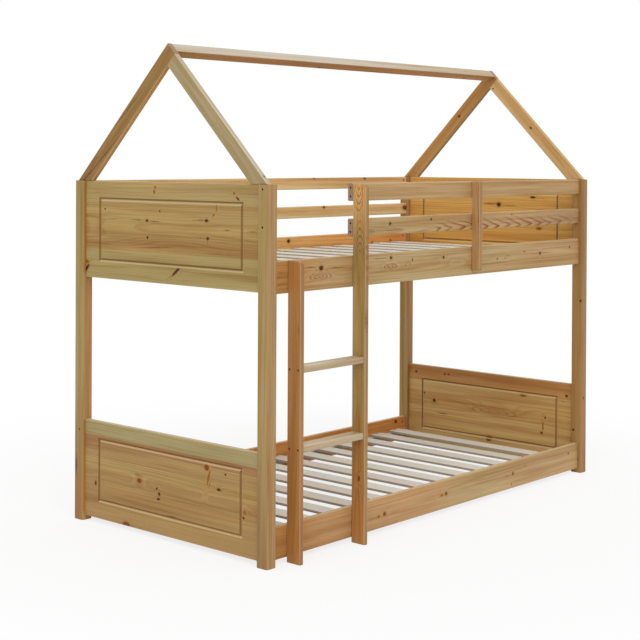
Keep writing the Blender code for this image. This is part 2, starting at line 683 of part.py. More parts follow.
def add_decks(bed):
    mesh = slat_mesh(bed)
    first = FIRST_SLAT_FROM_END + SLAT_WIDTH / 2
    last = BED_LENGTH - LAST_SLAT_FROM_END - SLAT_WIDTH / 2
    pitch = (last - first) / (SLATS_PER_DECK - 1)
    decks = (("lower", LOWER_RAIL_TOP - LOWER_SLATS_BELOW_RAIL_TOP),
             ("upper", UPPER_RAIL_TOP - UPPER_SLATS_BELOW_RAIL_TOP))
    for level, slat_top in decks:
        for index in range(SLATS_PER_DECK):
            name = f"slat_{level}_{index + 1:02d}"
            bed.place(name, mesh, (first + index * pitch, BED_DEPTH / 2, slat_top - SLAT_THICKNESS / 2))
        cleat_top = slat_top - SLAT_THICKNESS - TOUCH_GAP
        for is_back in (False, True):
            face = RAIL_INSET + RAIL_THICKNESS + TOUCH_GAP
            ys = sorted((mirrored(face, is_back), mirrored(face + CLEAT_WIDTH, is_back)))
            name = "slat_cleat_" + level + ("_back" if is_back else "_front")
            add_board(bed, name, (BETWEEN_POSTS_START, ys[0], cleat_top - CLEAT_HEIGHT),
                      (BETWEEN_POSTS_END, ys[1], cleat_top), ALONG, CLEAT_EDGE_RADIUS, bed.slat)


def main():
    clear_scene()
    bed = Bed()
    add_posts(bed)
    add_panels(bed)
    add_rails(bed)
    add_guards(bed)
    add_support(bed)
    add_ladder(bed)
    add_roof(bed)
    add_decks(bed)


main()
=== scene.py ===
"""Looks of the house bunk bed: varnished knotty pine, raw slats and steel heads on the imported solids.

Places are in metres in the frame's own axes: X along the bed, -Y out of the ladder side and Z up.
A board's own axes are along its grain, across its wide face and through its thickness.
"""

import math
from collections import namedtuple

import bpy
import bmesh
from mathutils import Matrix, Vector


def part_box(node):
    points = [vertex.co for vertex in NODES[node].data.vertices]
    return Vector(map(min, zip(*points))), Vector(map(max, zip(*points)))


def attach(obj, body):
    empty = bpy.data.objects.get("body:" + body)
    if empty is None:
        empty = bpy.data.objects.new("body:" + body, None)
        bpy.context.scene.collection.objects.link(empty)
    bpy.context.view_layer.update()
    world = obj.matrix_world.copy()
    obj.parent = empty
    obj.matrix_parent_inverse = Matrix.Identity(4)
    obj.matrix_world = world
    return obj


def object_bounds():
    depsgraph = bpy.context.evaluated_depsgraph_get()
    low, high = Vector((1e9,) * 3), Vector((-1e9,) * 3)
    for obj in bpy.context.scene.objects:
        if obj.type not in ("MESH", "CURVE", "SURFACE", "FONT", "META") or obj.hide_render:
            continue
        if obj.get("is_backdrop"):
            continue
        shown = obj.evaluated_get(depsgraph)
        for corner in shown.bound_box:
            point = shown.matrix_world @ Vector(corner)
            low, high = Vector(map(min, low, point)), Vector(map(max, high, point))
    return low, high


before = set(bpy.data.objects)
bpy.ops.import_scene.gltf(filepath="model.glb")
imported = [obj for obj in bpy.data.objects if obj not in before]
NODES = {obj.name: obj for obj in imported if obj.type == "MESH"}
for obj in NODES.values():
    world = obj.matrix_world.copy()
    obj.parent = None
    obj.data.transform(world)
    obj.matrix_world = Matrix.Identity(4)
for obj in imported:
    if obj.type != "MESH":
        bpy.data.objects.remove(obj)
CAD_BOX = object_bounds()
BODY = "root"
MM = 0.001

# Camera
CAMERA_PLACE = (-4.2863, -3.6015, 1.3312)
CAMERA_YAW_DEGREES = 48.231
CAMERA_PITCH_DEGREES = -0.441
CAMERA_ROLL_DEGREES = 0.282
CAMERA_LENS = 79.631
CAMERA_SENSOR = 36
CAMERA_SHIFT = (0.0133, -0.2370)

# Light and floor
WHITE = (1, 1, 1, 1)
SKY_LEVEL = 0.72
SUN_LEVEL = 1.25
SUN_SOFTNESS_DEGREES = 50
SUN_DIRECTION = (-0.55, -0.62, 0.95)
FLOOR_SIZE = 120.0
FLOOR_TONE = "F2F2F2"
FLOOR_NEAR_WHITE = 0.78
FLOOR_FADE = (1.2, 2.6)

RIGHT = Vector((1, 0, 0))
BACK = Vector((0, 1, 0))
UP = Vector((0, 0, 1))
LEFT = -RIGHT
FRONT = -BACK


def linear(tone):
    """The linear colour of a six-digit sRGB tone."""
    shares = [int(tone[start:start + 2], 16) / 255 for start in (0, 2, 4)]
    return tuple(s / 12.92 if s <= 0.04045 else ((s + 0.055) / 1.055) ** 2.4 for s in shares)


def scaled(colour, factors):
    return tuple(channel * factor for channel, factor in zip(colour, factors))


def middle(node):
    low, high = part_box(node)
    return (low + high) / 2


class Number:
    """A number in a node tree. An expression on it adds Math nodes to its tree."""

    def __init__(self, nodes, socket):
        self.nodes = nodes
        self.socket = socket

    def math(self, operation, *others):
        return self.nodes.math(operation, self, *others)

    def __add__(self, other):
        return self.math("ADD", other)

    def __radd__(self, other):
        return self.nodes.math("ADD", other, self)

    def __sub__(self, other):
        return self.math("SUBTRACT", other)

    def __rsub__(self, other):
        return self.nodes.math("SUBTRACT", other, self)

    def __mul__(self, other):
        return self.math("MULTIPLY", other)

    def __rmul__(self, other):
        return self.nodes.math("MULTIPLY", other, self)

    def __truediv__(self, other):
        return self.math("DIVIDE", other)

    def __neg__(self):
        return self.math("MULTIPLY", -1)

    def __abs__(self):
        return self.math("ABSOLUTE")

    def least(self, other):
        return self.math("MINIMUM", other)

    def most(self, other):
        return self.math("MAXIMUM", other)

    def above(self, level):
        return self.math("GREATER_THAN", level)

    def root(self):
        return self.math("SQRT")

    def fraction(self):
        return self.math("FRACT")

    def whole(self):
        return self.math("FLOOR")

    def sine(self):
        return self.math("SINE")

    def bell(self):
        """One at zero, falling away on both sides."""
        return self.nodes.math("EXPONENT", -(self * self))

    def rise(self, low, high):
        """Smoothly from 0 at the low value to 1 at the high one."""
        return self.nodes.ramp(self, low, high, 0, 1)

    def fall(self, low, high):
        """Smoothly from 1 at the low value to 0 at the high one."""
        return self.nodes.ramp(self, low, high, 1, 0)

    def between(self, start, full, fading, end):
        """Smoothly up from 0 at the start to 1 where it is full, and down to 0 at the end."""
        return self.rise(start, full) * self.fall(fading, end)


class Nodes:
    """A node tree, with one method that adds any node and one that adds Math nodes."""

    def __init__(self, tree):
        self.tree = tree

    def node(self, kind, settings=None, sockets=None):
        """Adds a node, applies its settings, then sets or links its sockets."""
        made = self.tree.nodes.new(kind)
        for key, value in (settings or {}).items():
            setattr(made, key, value)
        for key, value in (sockets or {}).items():
            source = value.socket if isinstance(value, Number) else value
            if isinstance(source, bpy.types.NodeSocket):
                self.tree.links.new(source, made.inputs[key])
            else:
                made.inputs[key].default_value = source
        return made

    def math(self, operation, *values):
        made = self.node("ShaderNodeMath", {"operation": operation}, dict(enumerate(values)))
        return Number(self, made.outputs[0])


class Finish(Nodes):
    """One procedural material. Its colours and vectors are plain sockets or tuples."""

    def __init__(self, name):
        self.material = bpy.data.materials.new(name)
        self.material.use_nodes = True
        super().__init__(self.material.node_tree)
        self.tree.nodes.clear()
        self.output = self.node("ShaderNodeOutputMaterial")

    def ramp(self, value, low, high, start, end):
        sockets = {0: value, 1: low, 2: high, 3: start, 4: end}
        made = self.node("ShaderNodeMapRange", {"interpolation_type": "SMOOTHSTEP"}, sockets)
        return Number(self, made.outputs[0])

    def vector(self, operation, first, second):
        made = self.node("ShaderNodeVectorMath", {"operation": operation}, {0: first, 1: second})
        return made.outputs[0]

    def dot(self, first, second):
        made = self.node("ShaderNodeVectorMath", {"operation": "DOT_PRODUCT"}, {0: first, 1: second})
        return Number(self, made.outputs[1])

    def length(self, vector):
        made = self.node("ShaderNodeVectorMath", {"operation": "LENGTH"}, {0: vector})
        return Number(self, made.outputs[1])

    def combined(self, x, y, z):
        return self.node("ShaderNodeCombineXYZ", None, {0: x, 1: y, 2: z}).outputs[0]

    def separated(self, vector):
        made = self.node("ShaderNodeSeparateXYZ", None, {0: vector})
        return [Number(self, socket) for socket in made.outputs]

    def place(self):
        return self.node("ShaderNodeTexCoord").outputs["Object"]

    def normal(self):
        return self.node("ShaderNodeNewGeometry").outputs["Normal"]

    def noise_node(self, vector, pattern, shift):
        """A pattern is its features per metre on each axis, its detail and its roughness."""
        scale, detail, roughness = pattern
        stretched = self.vector("MULTIPLY", vector, scale)
        moved = self.vector("ADD", stretched, shift)
        sockets = {"Vector": moved, "Scale": 1, "Detail": detail, "Roughness": roughness}
        return self.node("ShaderNodeTexNoise", None, sockets)

    def noise(self, vector, pattern, shift):
        """Noise around 0.5."""
        return Number(self, self.noise_node(vector, pattern, shift).outputs[0])

    def noises(self, vector, pattern, shift):
        """Three unlike noises, each centred on zero."""
        colour = self.noise_node(vector, pattern, shift).outputs[1]
        return self.separated(self.vector("SUBTRACT", colour, (0.5, 0.5, 0.5)))

    def chance(self, value):
        """A random share for each whole value."""
        made = self.node("ShaderNodeTexWhiteNoise", {"noise_dimensions": "1D"}, {"W": value})
        return Number(self, made.outputs[0])

    def mix(self, share, first, second, blend="MIX"):
        """The first colour, changed into the second or blended with it, by a share."""
        colours = [(*c, 1) if isinstance(c, tuple) else c for c in (first, second)]
        settings = {"data_type": "RGBA", "blend_type": blend}
        sockets = {0: share, 6: colours[0], 7: colours[1]}
        return self.node("ShaderNodeMix", settings, sockets).outputs[2]

    def tinted(self, share, colour, tint):
        """A colour multiplied by a tint, by a share."""
        return self.mix(share, colour, tint, "MULTIPLY")

    def bump(self, height, depth, strength):
        sockets = {"Height": height, "Distance": depth, "Strength": strength}
        return self.node("ShaderNodeBump", None, sockets).outputs[0]

    def close(self, shader_kind, sockets):
        shader = self.node(shader_kind, None, sockets)
        self.tree.links.new(shader.outputs[0], self.output.inputs[0])
        return self.material


class Board:
    """A packed board and its own axes: along the grain, across the wide face, through the thickness."""

    def __init__(self, name, along, through):
        self.name = name
        self.along = Vector(along).normalized()
        self.through = Vector(through).normalized()
        self.across = self.through.cross(self.along)
        self.centre = Vector()
        halves = []
        for axis in (self.along, self.across, self.through):
            places = [vertex.co.dot(axis) for vertex in NODES[name].data.vertices]
            self.centre += axis * (min(places) + max(places)) / 2
            halves.append((max(places) - min(places)) / 2)
        self.half_length, self.half_width, self.half_thickness = halves

    def grain(self, finish):
        """The place on the board in its own axes."""
        local = finish.vector("SUBTRACT", finish.place(), self.centre)
        parts = [finish.dot(local, axis) for axis in (self.along, self.across, self.through)]
        return finish.combined(*parts), parts


# Pine

TONES = {name: linear(tone) for name, tone in {
    "olive": "A48E5D",
    "sage": "A19263",
    "hay": "9C7B50",
    "husk": "91734D",
    "straw": "A58B57",
    "reed": "A9915E",
    "moss": "9E9269",
    "honey": "A08355",
    "drab": "907140",
    "sand": "AE9068",
    "biscuit": "AF9970",
    "peach": "B49068",
    "apricot": "D4B386",
    "butter": "D8C496",
    "melon": "D4A76A",
    "corn": "DBB076",
    "amber": "C78A4D",
    "ginger": "A67A40",
    "caramel": "AD7F4B",
    "bark": "8E5E30",
    "toast": "9C754D",
    "tan": "9F805A",
    "buff": "A5865E",
    "chestnut": "B28652",
    "fawn": "B18B5C",
    "taupe": "977552",
    "umber": "9B7948",
    "heath": "A0834E",
    "hazel": "BA9863",
    "gold": "CC9F56",
    "brass": "B58950",
    "wheat": "C9A774",
    "oat": "B2A187",
    "oatmeal": "D2C7B6",
    "linen": "BEB5AA",
    "khaki": "A19472",
    "stubble": "8A6B3E",
    "clay": "A4764C",
    "cream": "DCCBA6",
}.items()}
VARNISH = (1.12, 1.12, 1.08)
BAND_TINT = (0.91, 0.83, 0.70)
STREAK_TINT = (0.84, 0.74, 0.59)
PALE_STREAK_TINT = (1.13, 1.12, 1.10)
LATE_WOOD = (0.72, 0.52, 0.32)
LATE_END_GRAIN = (0.72, 0.62, 0.52)
FIBRE_TINT = (0.82, 0.72, 0.58)
END_TONE = linear("A98A78")
GROOVE_SHADE = linear("724A14")
GROOVE_LIGHT = linear("CDB88A")
# painted shade in holes, partly dark end grain
BORE_SHADE_TONE = linear("1E1006")
TAIL_TONE = linear("5E2E0A")
FIGURE_TONE = linear("783E12")
KNOT_KINDS = {
    # core, ring inside the core, rim, halo and how strong the halo is
    "dark": (linear("341602"), linear("4E2804"), linear("54300C"), linear("96682E"), 0.50),
    "red": (linear("5E2E08"), linear("8E5418"), linear("50280A"), linear("B07434"), 0.55),
    "faint": (linear("7A4C18"), linear("9A6E24"), linear("7A4E1A"), linear("BE862E"), 0.50),
    "pin": (linear("301602"), linear("482604"), linear("523008"), linear("94682E"), 0.25),
}

# Noise patterns on the wood: features per metre along, across and through, detail and roughness
RING_DRIFT = ((1.3, 3.0, 3.0), 1, 0.5)
RING_QUIVER = ((16, 60, 60), 2, 0.5)
WAVER = ((130, 230, 230), 1, 0.5)
WOBBLE = ((7, 22, 22), 2, 0.5)
FIBRE = ((9, 420, 420), 4, 0.65)
BAND = ((0.7, 8, 8), 1, 0.5)
STREAK = ((1.3, 30, 30), 2, 0.55)
NARROW_STREAK = ((2.4, 110, 110), 2, 0.55)
SEED_STEPS = (7.31, 3.17, 5.53)

# The values of its noise between which a streak, band or fibre comes in
BAND_LEVELS = (0.42, 0.66)
STREAK_LEVELS = (0.46, 0.66)
PALE_STREAK_LEVELS = (0.32, 0.48)
NARROW_STREAK_LEVELS = (0.47, 0.68)
FIBRE_LEVELS = (0.50, 0.80)
TORN_LEVELS = (0.30, 0.62)

# Where in its ring a dark line of late wood starts, is full, starts to fade and is gone
RING_LINE = (0.30, 0.86, 0.92, 1.0)
CHEVRON_LINE = (0.44, 0.88, 0.93, 1.0)
OVAL_LINE = (0.45, 0.88, 0.90, 1.0)

# In knot radii, where a knot's halo, rim, core and hard wood start to fade and are gone
KNOT_HALO = (1.0, 2.8)
KNOT_RIM = (1.0, 1.45)
KNOT_CORE = (0.90, 1.20)
KNOT_HARD = (0.8, 1.1)
KNOT_WAVES = 14

# How many year rings a knot pushes aside, and how quickly that fades with the distance from it
KNOT_PUSH = 1.6
PIN_PUSH = 0.5
PUSH_FADE = 0.34

# Lengths on a board, in millimetres
SPOT_DEPTH = 70
QUIVER_SWING = 1.6
WAVER_ALONG = 8
WAVER_ACROSS = 6
BAND_SWING = 30
BAND_EDGE = 5
CHEVRON_SWING = 22
CHEVRON_ARMS = (6, 40)
GLUE_LINE = (0.2, 1.0)
# the width of the painted highlight along eased arrises
ARRIS_HIGHLIGHT = 4.5
BORE_BELOW_FACE = (1.5, 3.5)
ROUT_BELOW_FACE = (0.1, 0.7)
ROUT_FROM_EDGE = (40, 50)
STILE_CORNER = 32
LIP_FROM_FACE = (9, 13)
LIP_FADE_LOW = 20
LIP_FADE_HIGH = 10
GRAIN_RELIEF = 0.3


class Look:
    """What makes one board's pine its own. Lengths are in millimetres from the board's middle."""

    # The tone of the narrow faces, and the painted shade, with pooled varnish, on a post's outer lip beside
    # the end panels
    side = None
    lip_shade = None
    # The trunk's heart, the rings' pitch, how far they draw in along a metre and how far they wander
    heart = (10, -60)
    ring = 4.4
    taper = 7.0
    wander = 16
    # The strength of the rings, of the streaks and of the painted light on the upper face
    contrast = 0.5
    streaks = 0.8
    top = 0.45
    # What is drawn on the wood, as the comment above the boards says
    knots = flank_knots = tails = eyes = ovals = chevrons = staves = bands = ()
    # Whether a routed line or the painted shade in holes is drawn, and whether the board's corners are
    # rounded off
    routed = False
    shaded_bores = True
    rounded = False

    def __init__(self, *tones, **own):
        self.tones = [TONES[tone] for tone in tones]
        vars(self).update(own)


def strongest(shares):
    most = None
    for share in shares:
        most = share if most is None else most.most(share)
    return most


class Wood(Finish):
    """One board's varnished pine. Its steps take the colour so far and give it back changed."""

    def __init__(self, board, look, seed_number):
        super().__init__(board.name + "_pine")
        self.board = board
        self.look = look
        self.seed = seed = tuple(seed_number * step for step in SEED_STEPS)
        other_seed = seed[1:] + seed[:1]
        self.grain, (self.along, self.across, self.through) = board.grain(self)
        self.outward = self.normal()
        waver = self.noises(self.grain, WAVER, seed)
        wavering_along = self.along + waver[0] * (WAVER_ALONG * MM)
        wavering_across = self.across + waver[1] * (WAVER_ACROSS * MM)
        self.wavering = self.combined(wavering_along, wavering_across, self.through)
        self.flank = self.combined(self.along, self.through, self.across)
        self.wobble = self.noises(self.grain, WOBBLE, other_seed)
        self.fibre = self.noise(self.grain, FIBRE, seed)
        self.band = self.noise(self.grain, BAND, other_seed)
        self.streak = self.noise(self.grain, STREAK, seed)
        self.narrow_streak = self.noise(self.grain, NARROW_STREAK, other_seed)
        self.end_face = abs(self.dot(self.outward, board.along)).rise(0.55, 0.85)
        self.knots = self.knot_fields()
        self.late = self.late_wood()

    def spot_distance(self, place, along, up, half_length, half_width, turn=0):
        """How far a place is from an oval spot, turned in degrees, where 1 is the spot's outline."""
        moved = self.vector("SUBTRACT", place, (along * MM, up * MM, 0))
        if turn:
            cosine = math.cos(math.radians(turn))
            sine = math.sin(math.radians(turn))
            axes = ((cosine, sine, 0), (-sine, cosine, 0), (0, 0, 1))
            moved = self.combined(*(self.dot(moved, axis) for axis in axes))
        shares = (1 / (half_length * MM), 1 / (half_width * MM), 1 / (SPOT_DEPTH * MM))
        return self.length(self.vector("MULTIPLY", moved, shares))

    def knot_fields(self):
        """For each kind of knot on the board, the distance to the nearest one."""
        fields = {}
        spots = [(self.wavering, knot) for knot in self.look.knots]
        spots += [(self.flank, knot) for knot in self.look.flank_knots]
        for kind in KNOT_KINDS:
            for place, (own_kind, *spot) in spots:
                if own_kind == kind:
                    distance = self.spot_distance(place, *spot)
                    fields[kind] = fields[kind].least(distance) if kind in fields else distance
        return fields

    def ring_push(self):
        """How far knots and hidden bulges push the year rings aside, in rings."""
        push = 0
        for kind, field in self.knots.items():
            push = push + (field * PUSH_FADE).bell() * (PIN_PUSH if kind == "pin" else KNOT_PUSH)
        for *spot, height in self.look.eyes:
            push = push + self.spot_distance(self.grain, *spot).bell() * height
        return push

    def late_wood(self):
        """The dark late wood of the year rings, which go round the trunk's heart, each of its own depth."""
        drift = self.noises(self.grain, RING_DRIFT, self.seed)
        quiver = self.noises(self.grain, RING_QUIVER, self.seed)
        spread = self.look.wander * MM
        heart_across, heart_through = self.look.heart
        y = self.across - heart_across * MM + drift[1] * spread + quiver[1] * (QUIVER_SWING * MM)
        z = self.through - heart_through * MM + drift[2] * spread + quiver[2] * (QUIVER_SWING * MM)
        radius = (y * y + z * z).root()
        count = (radius + self.along * (self.look.taper * MM)) / (self.look.ring * MM)
        count = count + drift[0] * 3 + self.ring_push()
        own = self.chance(count.whole() + self.seed[0] * 10)
        return count.fraction().between(*RING_LINE) * (own * 0.75 + 0.35)

    def chevrons(self):
        """Nested arrowheads of late wood, a pitch apart, whose arms sweep back from their tips."""
        first, last, pitch, up, arm_above, arm_below = self.look.chevrons
        rise = self.across - up * MM + self.wobble[1] * (CHEVRON_SWING * MM)
        swept = self.along + rise.most(0) * arm_above + (-rise).most(0) * arm_below
        count = (swept - first * MM) / (pitch * MM) + self.wobble[0] * 0.7
        own = self.chance(count.whole() + 3.5)
        reach = self.along.between((first - pitch) * MM, first * MM, last * MM, (last + pitch) * MM)
        line = count.fraction().between(*CHEVRON_LINE) * (own * 0.4 + 0.8)
        near, far = CHEVRON_ARMS
        return line * reach * abs(rise).fall(near * MM, far * MM)

    def oval_lines(self):
        """Nested ovals of late wood, where the saw has cut through a bulge. Arches are one end of an oval."""
        lines = []
        for *spot, count, inner, strength in self.look.ovals:
            distance = self.spot_distance(self.wavering, *spot)
            line = (distance * count).fraction().between(*OVAL_LINE) * distance.fall(0.90, 1.1)
            if inner:
                line = line * distance.rise(inner - 0.1, inner) * self.along.above(spot[0] * MM)
            lines.append(line * strength)
        return strongest(lines)

    def plain(self):
        """The board's tone, changing from end to end or stave by stave, with its warmer bands. A darker first
        tone at a front rail's left end is painted shade.
        """
        colour, *later_tones = self.look.tones
        for level, tone in self.look.staves:
            colour = self.mix(self.across.above(level * MM), colour, TONES[tone])
        for index, tone in enumerate(later_tones):
            step = 2 * self.board.half_length / len(later_tones)
            start = index * step - self.board.half_length
            # tones along the board; a darker first tone on the front rails is painted shade
            colour = self.mix(self.along.rise(start, start + step), colour, tone)
        for low, high, tone, share in self.look.bands:
            level = self.across + self.wobble[1] * (BAND_SWING * MM)
            edges = (low - BAND_EDGE, low + BAND_EDGE, high - BAND_EDGE, high + BAND_EDGE)
            inside = level.between(*(edge * MM for edge in edges))
            colour = self.mix(inside * share, colour, TONES[tone])
        return colour

    def sided(self, colour):
        """The narrow faces' own tone, and painted shade on a post's outer lip in the crevice beside the end
        panels, partly varnish pooled there.
        """
        if not self.look.side:
            return colour
        facing = abs(self.dot(self.outward, self.board.across)).rise(0.35, 0.75)
        colour = self.mix(facing, colour, TONES[self.look.side])
        if self.look.lip_shade:
            full, none = (self.board.half_thickness - depth * MM for depth in LIP_FROM_FACE)
            outer = facing * self.through.rise(none, full)
            for panel in ("end_panel_lower_left", "end_panel_upper_left"):
                start, end = (corner.z - self.board.centre.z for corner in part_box(panel))
                beside = self.along.between(start, start + LIP_FADE_LOW * MM, end - LIP_FADE_HIGH * MM, end)
                # painted shade in the crevice between post and end panel, partly pooled varnish
                colour = self.mix(outer * beside, colour, TONES[self.look.lip_shade])
        return colour

    def grained(self, colour):
        """Varnish, colour bands, streaks, year rings, fibres and the glue lines between staves."""
        streaks = self.look.streaks
        colour = self.tinted(1.0, colour, VARNISH)
        colour = self.tinted(self.band.rise(*BAND_LEVELS) * streaks, colour, BAND_TINT)
        colour = self.tinted(self.streak.rise(*STREAK_LEVELS) * streaks, colour, STREAK_TINT)
        colour = self.tinted(self.streak.fall(*PALE_STREAK_LEVELS) * streaks, colour, PALE_STREAK_TINT)
        colour = self.tinted(self.narrow_streak.rise(*NARROW_STREAK_LEVELS) * streaks, colour, STREAK_TINT)
        colour = self.tinted(self.late * self.look.contrast, colour, LATE_WOOD)
        colour = self.tinted(self.fibre.rise(*FIBRE_LEVELS) * 0.4, colour, FIBRE_TINT)
        core, edge = GLUE_LINE
        for level, tone in self.look.staves:
            glue_line = abs(self.across - level * MM).fall(core * MM, edge * MM)
            colour = self.tinted(glue_line * 0.6, colour, LATE_WOOD)
        return colour

    def figured(self, colour):
        """Drawn figure and the dark tails that run from knots along the grain, both torn by the fibres."""
        torn = self.fibre.rise(*TORN_LEVELS) * 0.5 + 0.5
        if self.look.chevrons:
            colour = self.mix(self.chevrons() * torn.least(0.9), colour, FIGURE_TONE)
        if self.look.ovals:
            colour = self.mix(self.oval_lines() * torn, colour, FIGURE_TONE)
        for *spot, strength in self.look.tails:
            field = self.spot_distance(self.wavering, *spot)
            colour = self.mix(field.fall(0.1, 1.0) * torn * (strength * 1.15), colour, TAIL_TONE)
        return colour

    def knotted(self, colour):
        """Each knot's halo, rim and ringed core."""
        for kind, field in self.knots.items():
            core, ring_tone, rim, halo, halo_share = KNOT_KINDS[kind]
            colour = self.mix(field.fall(*KNOT_HALO) * halo_share, colour, halo)
            colour = self.mix(field.fall(*KNOT_RIM) * 0.85, colour, rim)
            wave = (field * KNOT_WAVES).sine() * 0.4 + 0.4
            colour = self.mix(field.fall(*KNOT_CORE), colour, self.mix(wave, core, ring_tone))
        return colour

    def highlights_and_end_grain(self, colour):
        """Painted highlights: eased arrises and upper faces are painted paler where light catches them; end
        grain is darker and pinker.
        """
        width = self.board.half_width
        thickness = self.board.half_thickness
        near_side = abs(self.across).rise(width - ARRIS_HIGHLIGHT * MM, width)
        near_face = abs(self.through).rise(thickness - ARRIS_HIGHLIGHT * MM, thickness)
        # painted highlight: the eased arrises are painted paler
        colour = self.mix(near_side * near_face * 0.22, colour, TONES["cream"])
        if self.look.top:
            # painted light: upper faces are painted paler, by the Look's top strength
            upper = self.dot(self.outward, UP).rise(0.75, 0.95)
            colour = self.mix(upper * self.look.top, colour, TONES["cream"])
        end_colour = self.mix(self.late, END_TONE, scaled(END_TONE, LATE_END_GRAIN))
        return self.mix(self.end_face * 0.8, colour, end_colour)

    def routed(self, colour):
        """The routed line's slopes: one is shaded, the other catches the light."""
        shallow, deep = ROUT_BELOW_FACE
        near, far = ROUT_FROM_EDGE
        cut = (self.board.half_thickness - abs(self.through)).rise(shallow * MM, deep * MM)
        for level, half in ((self.across, self.board.half_width), (self.along, self.board.half_length)):
            cut = cut * abs(level).fall(half - far * MM, half - near * MM)
        slope = self.dot(self.outward, self.board.along) - self.dot(self.outward, self.board.across)
        colour = self.mix(cut * slope.rise(0.10, 0.40) * 0.72, colour, GROOVE_SHADE)
        return self.mix(cut * (-slope).rise(0.10, 0.40) * 0.65, colour, GROOVE_LIGHT)

    def shaded_bores(self, colour):
        """Painted shade, with some darker end grain, on the walls of the holes, which lie below all of the
        board's faces.
        """
        board = self.board
        below = (board.half_width - abs(self.across)).least(board.half_thickness - abs(self.through))
        below = below.least(board.half_length - abs(self.along))
        shallow, deep = BORE_BELOW_FACE
        bore_shade = below.rise(shallow * MM, deep * MM)
        if self.look.rounded:
            corner = board.half_length - STILE_CORNER * MM
            bore_shade = bore_shade * abs(self.along).fall(corner, corner + MM)
        # painted shade darkens the holes' walls
        return self.mix(bore_shade * 0.9, colour, BORE_SHADE_TONE)


def pine(board, look, seed_number):
    """Varnished pine with its year rings, fibres, streaks, knots and end grain."""
    wood = Wood(board, look, seed_number)
    colour = wood.sided(wood.plain())
    colour = wood.figured(wood.grained(colour))
    colour = wood.highlights_and_end_grain(wood.knotted(colour))
    if look.routed:
        colour = wood.routed(colour)
    elif look.shaded_bores:
        colour = wood.shaded_bores(colour)
    roughness = 0.46 + 0.12 * wood.fibre + wood.end_face * 0.18
    height = wood.fibre * 0.5 - wood.late * 0.35
    hard = strongest([field.fall(*KNOT_HARD) for field in wood.knots.values()])
    if hard is not None:
        roughness = roughness - hard * 0.08
        height = height + hard * 0.15
    return wood.close("ShaderNodeBsdfPrincipled", {
        "Base Color": colour,
        "Roughness": roughness,
        "Specular IOR Level": 0.22,
        "Coat Weight": 0.04,
        "Coat Roughness": 0.25,
        "Normal": wood.bump(height, GRAIN_RELIEF * MM, 0.5),
    })


# The boards, their axes along and through, and what each one shows, in millimetres from its middle.
# A spot is along, up, half length, half width and a turn in degrees, which may be left out of a knot.
# Knots start with their kind. On flank_knots, which show on the narrow faces, up is through the board.
# Tails, the dark streaks beside knots, end with their strength.
# Eyes, bulges under the face that bend the rings, end with their height in rings.
# Ovals end with their number of lines, the share within which none is drawn, and their strength.
# Where that share isn't zero, only the half past their middle is drawn, as arches.
# Chevrons are the first and last tip, their pitch, their height and the sweep of the arms above and below.
# Staves are the level where a new one starts and its tone. Bands are two edges, a tone and its strength.

LEVEL_FRONT = (RIGHT, FRONT)
LEVEL_TOP = (RIGHT, UP)
UPRIGHT_LEFT = (UP, LEFT)
UPRIGHT_FRONT = (UP, FRONT)
END_LEFT = (FRONT, LEFT)
FRONT_SLOPE = (BACK + UP, LEFT)
BACK_SLOPE = (FRONT + UP, LEFT)
RIDGE = (RIGHT, FRONT + UP)

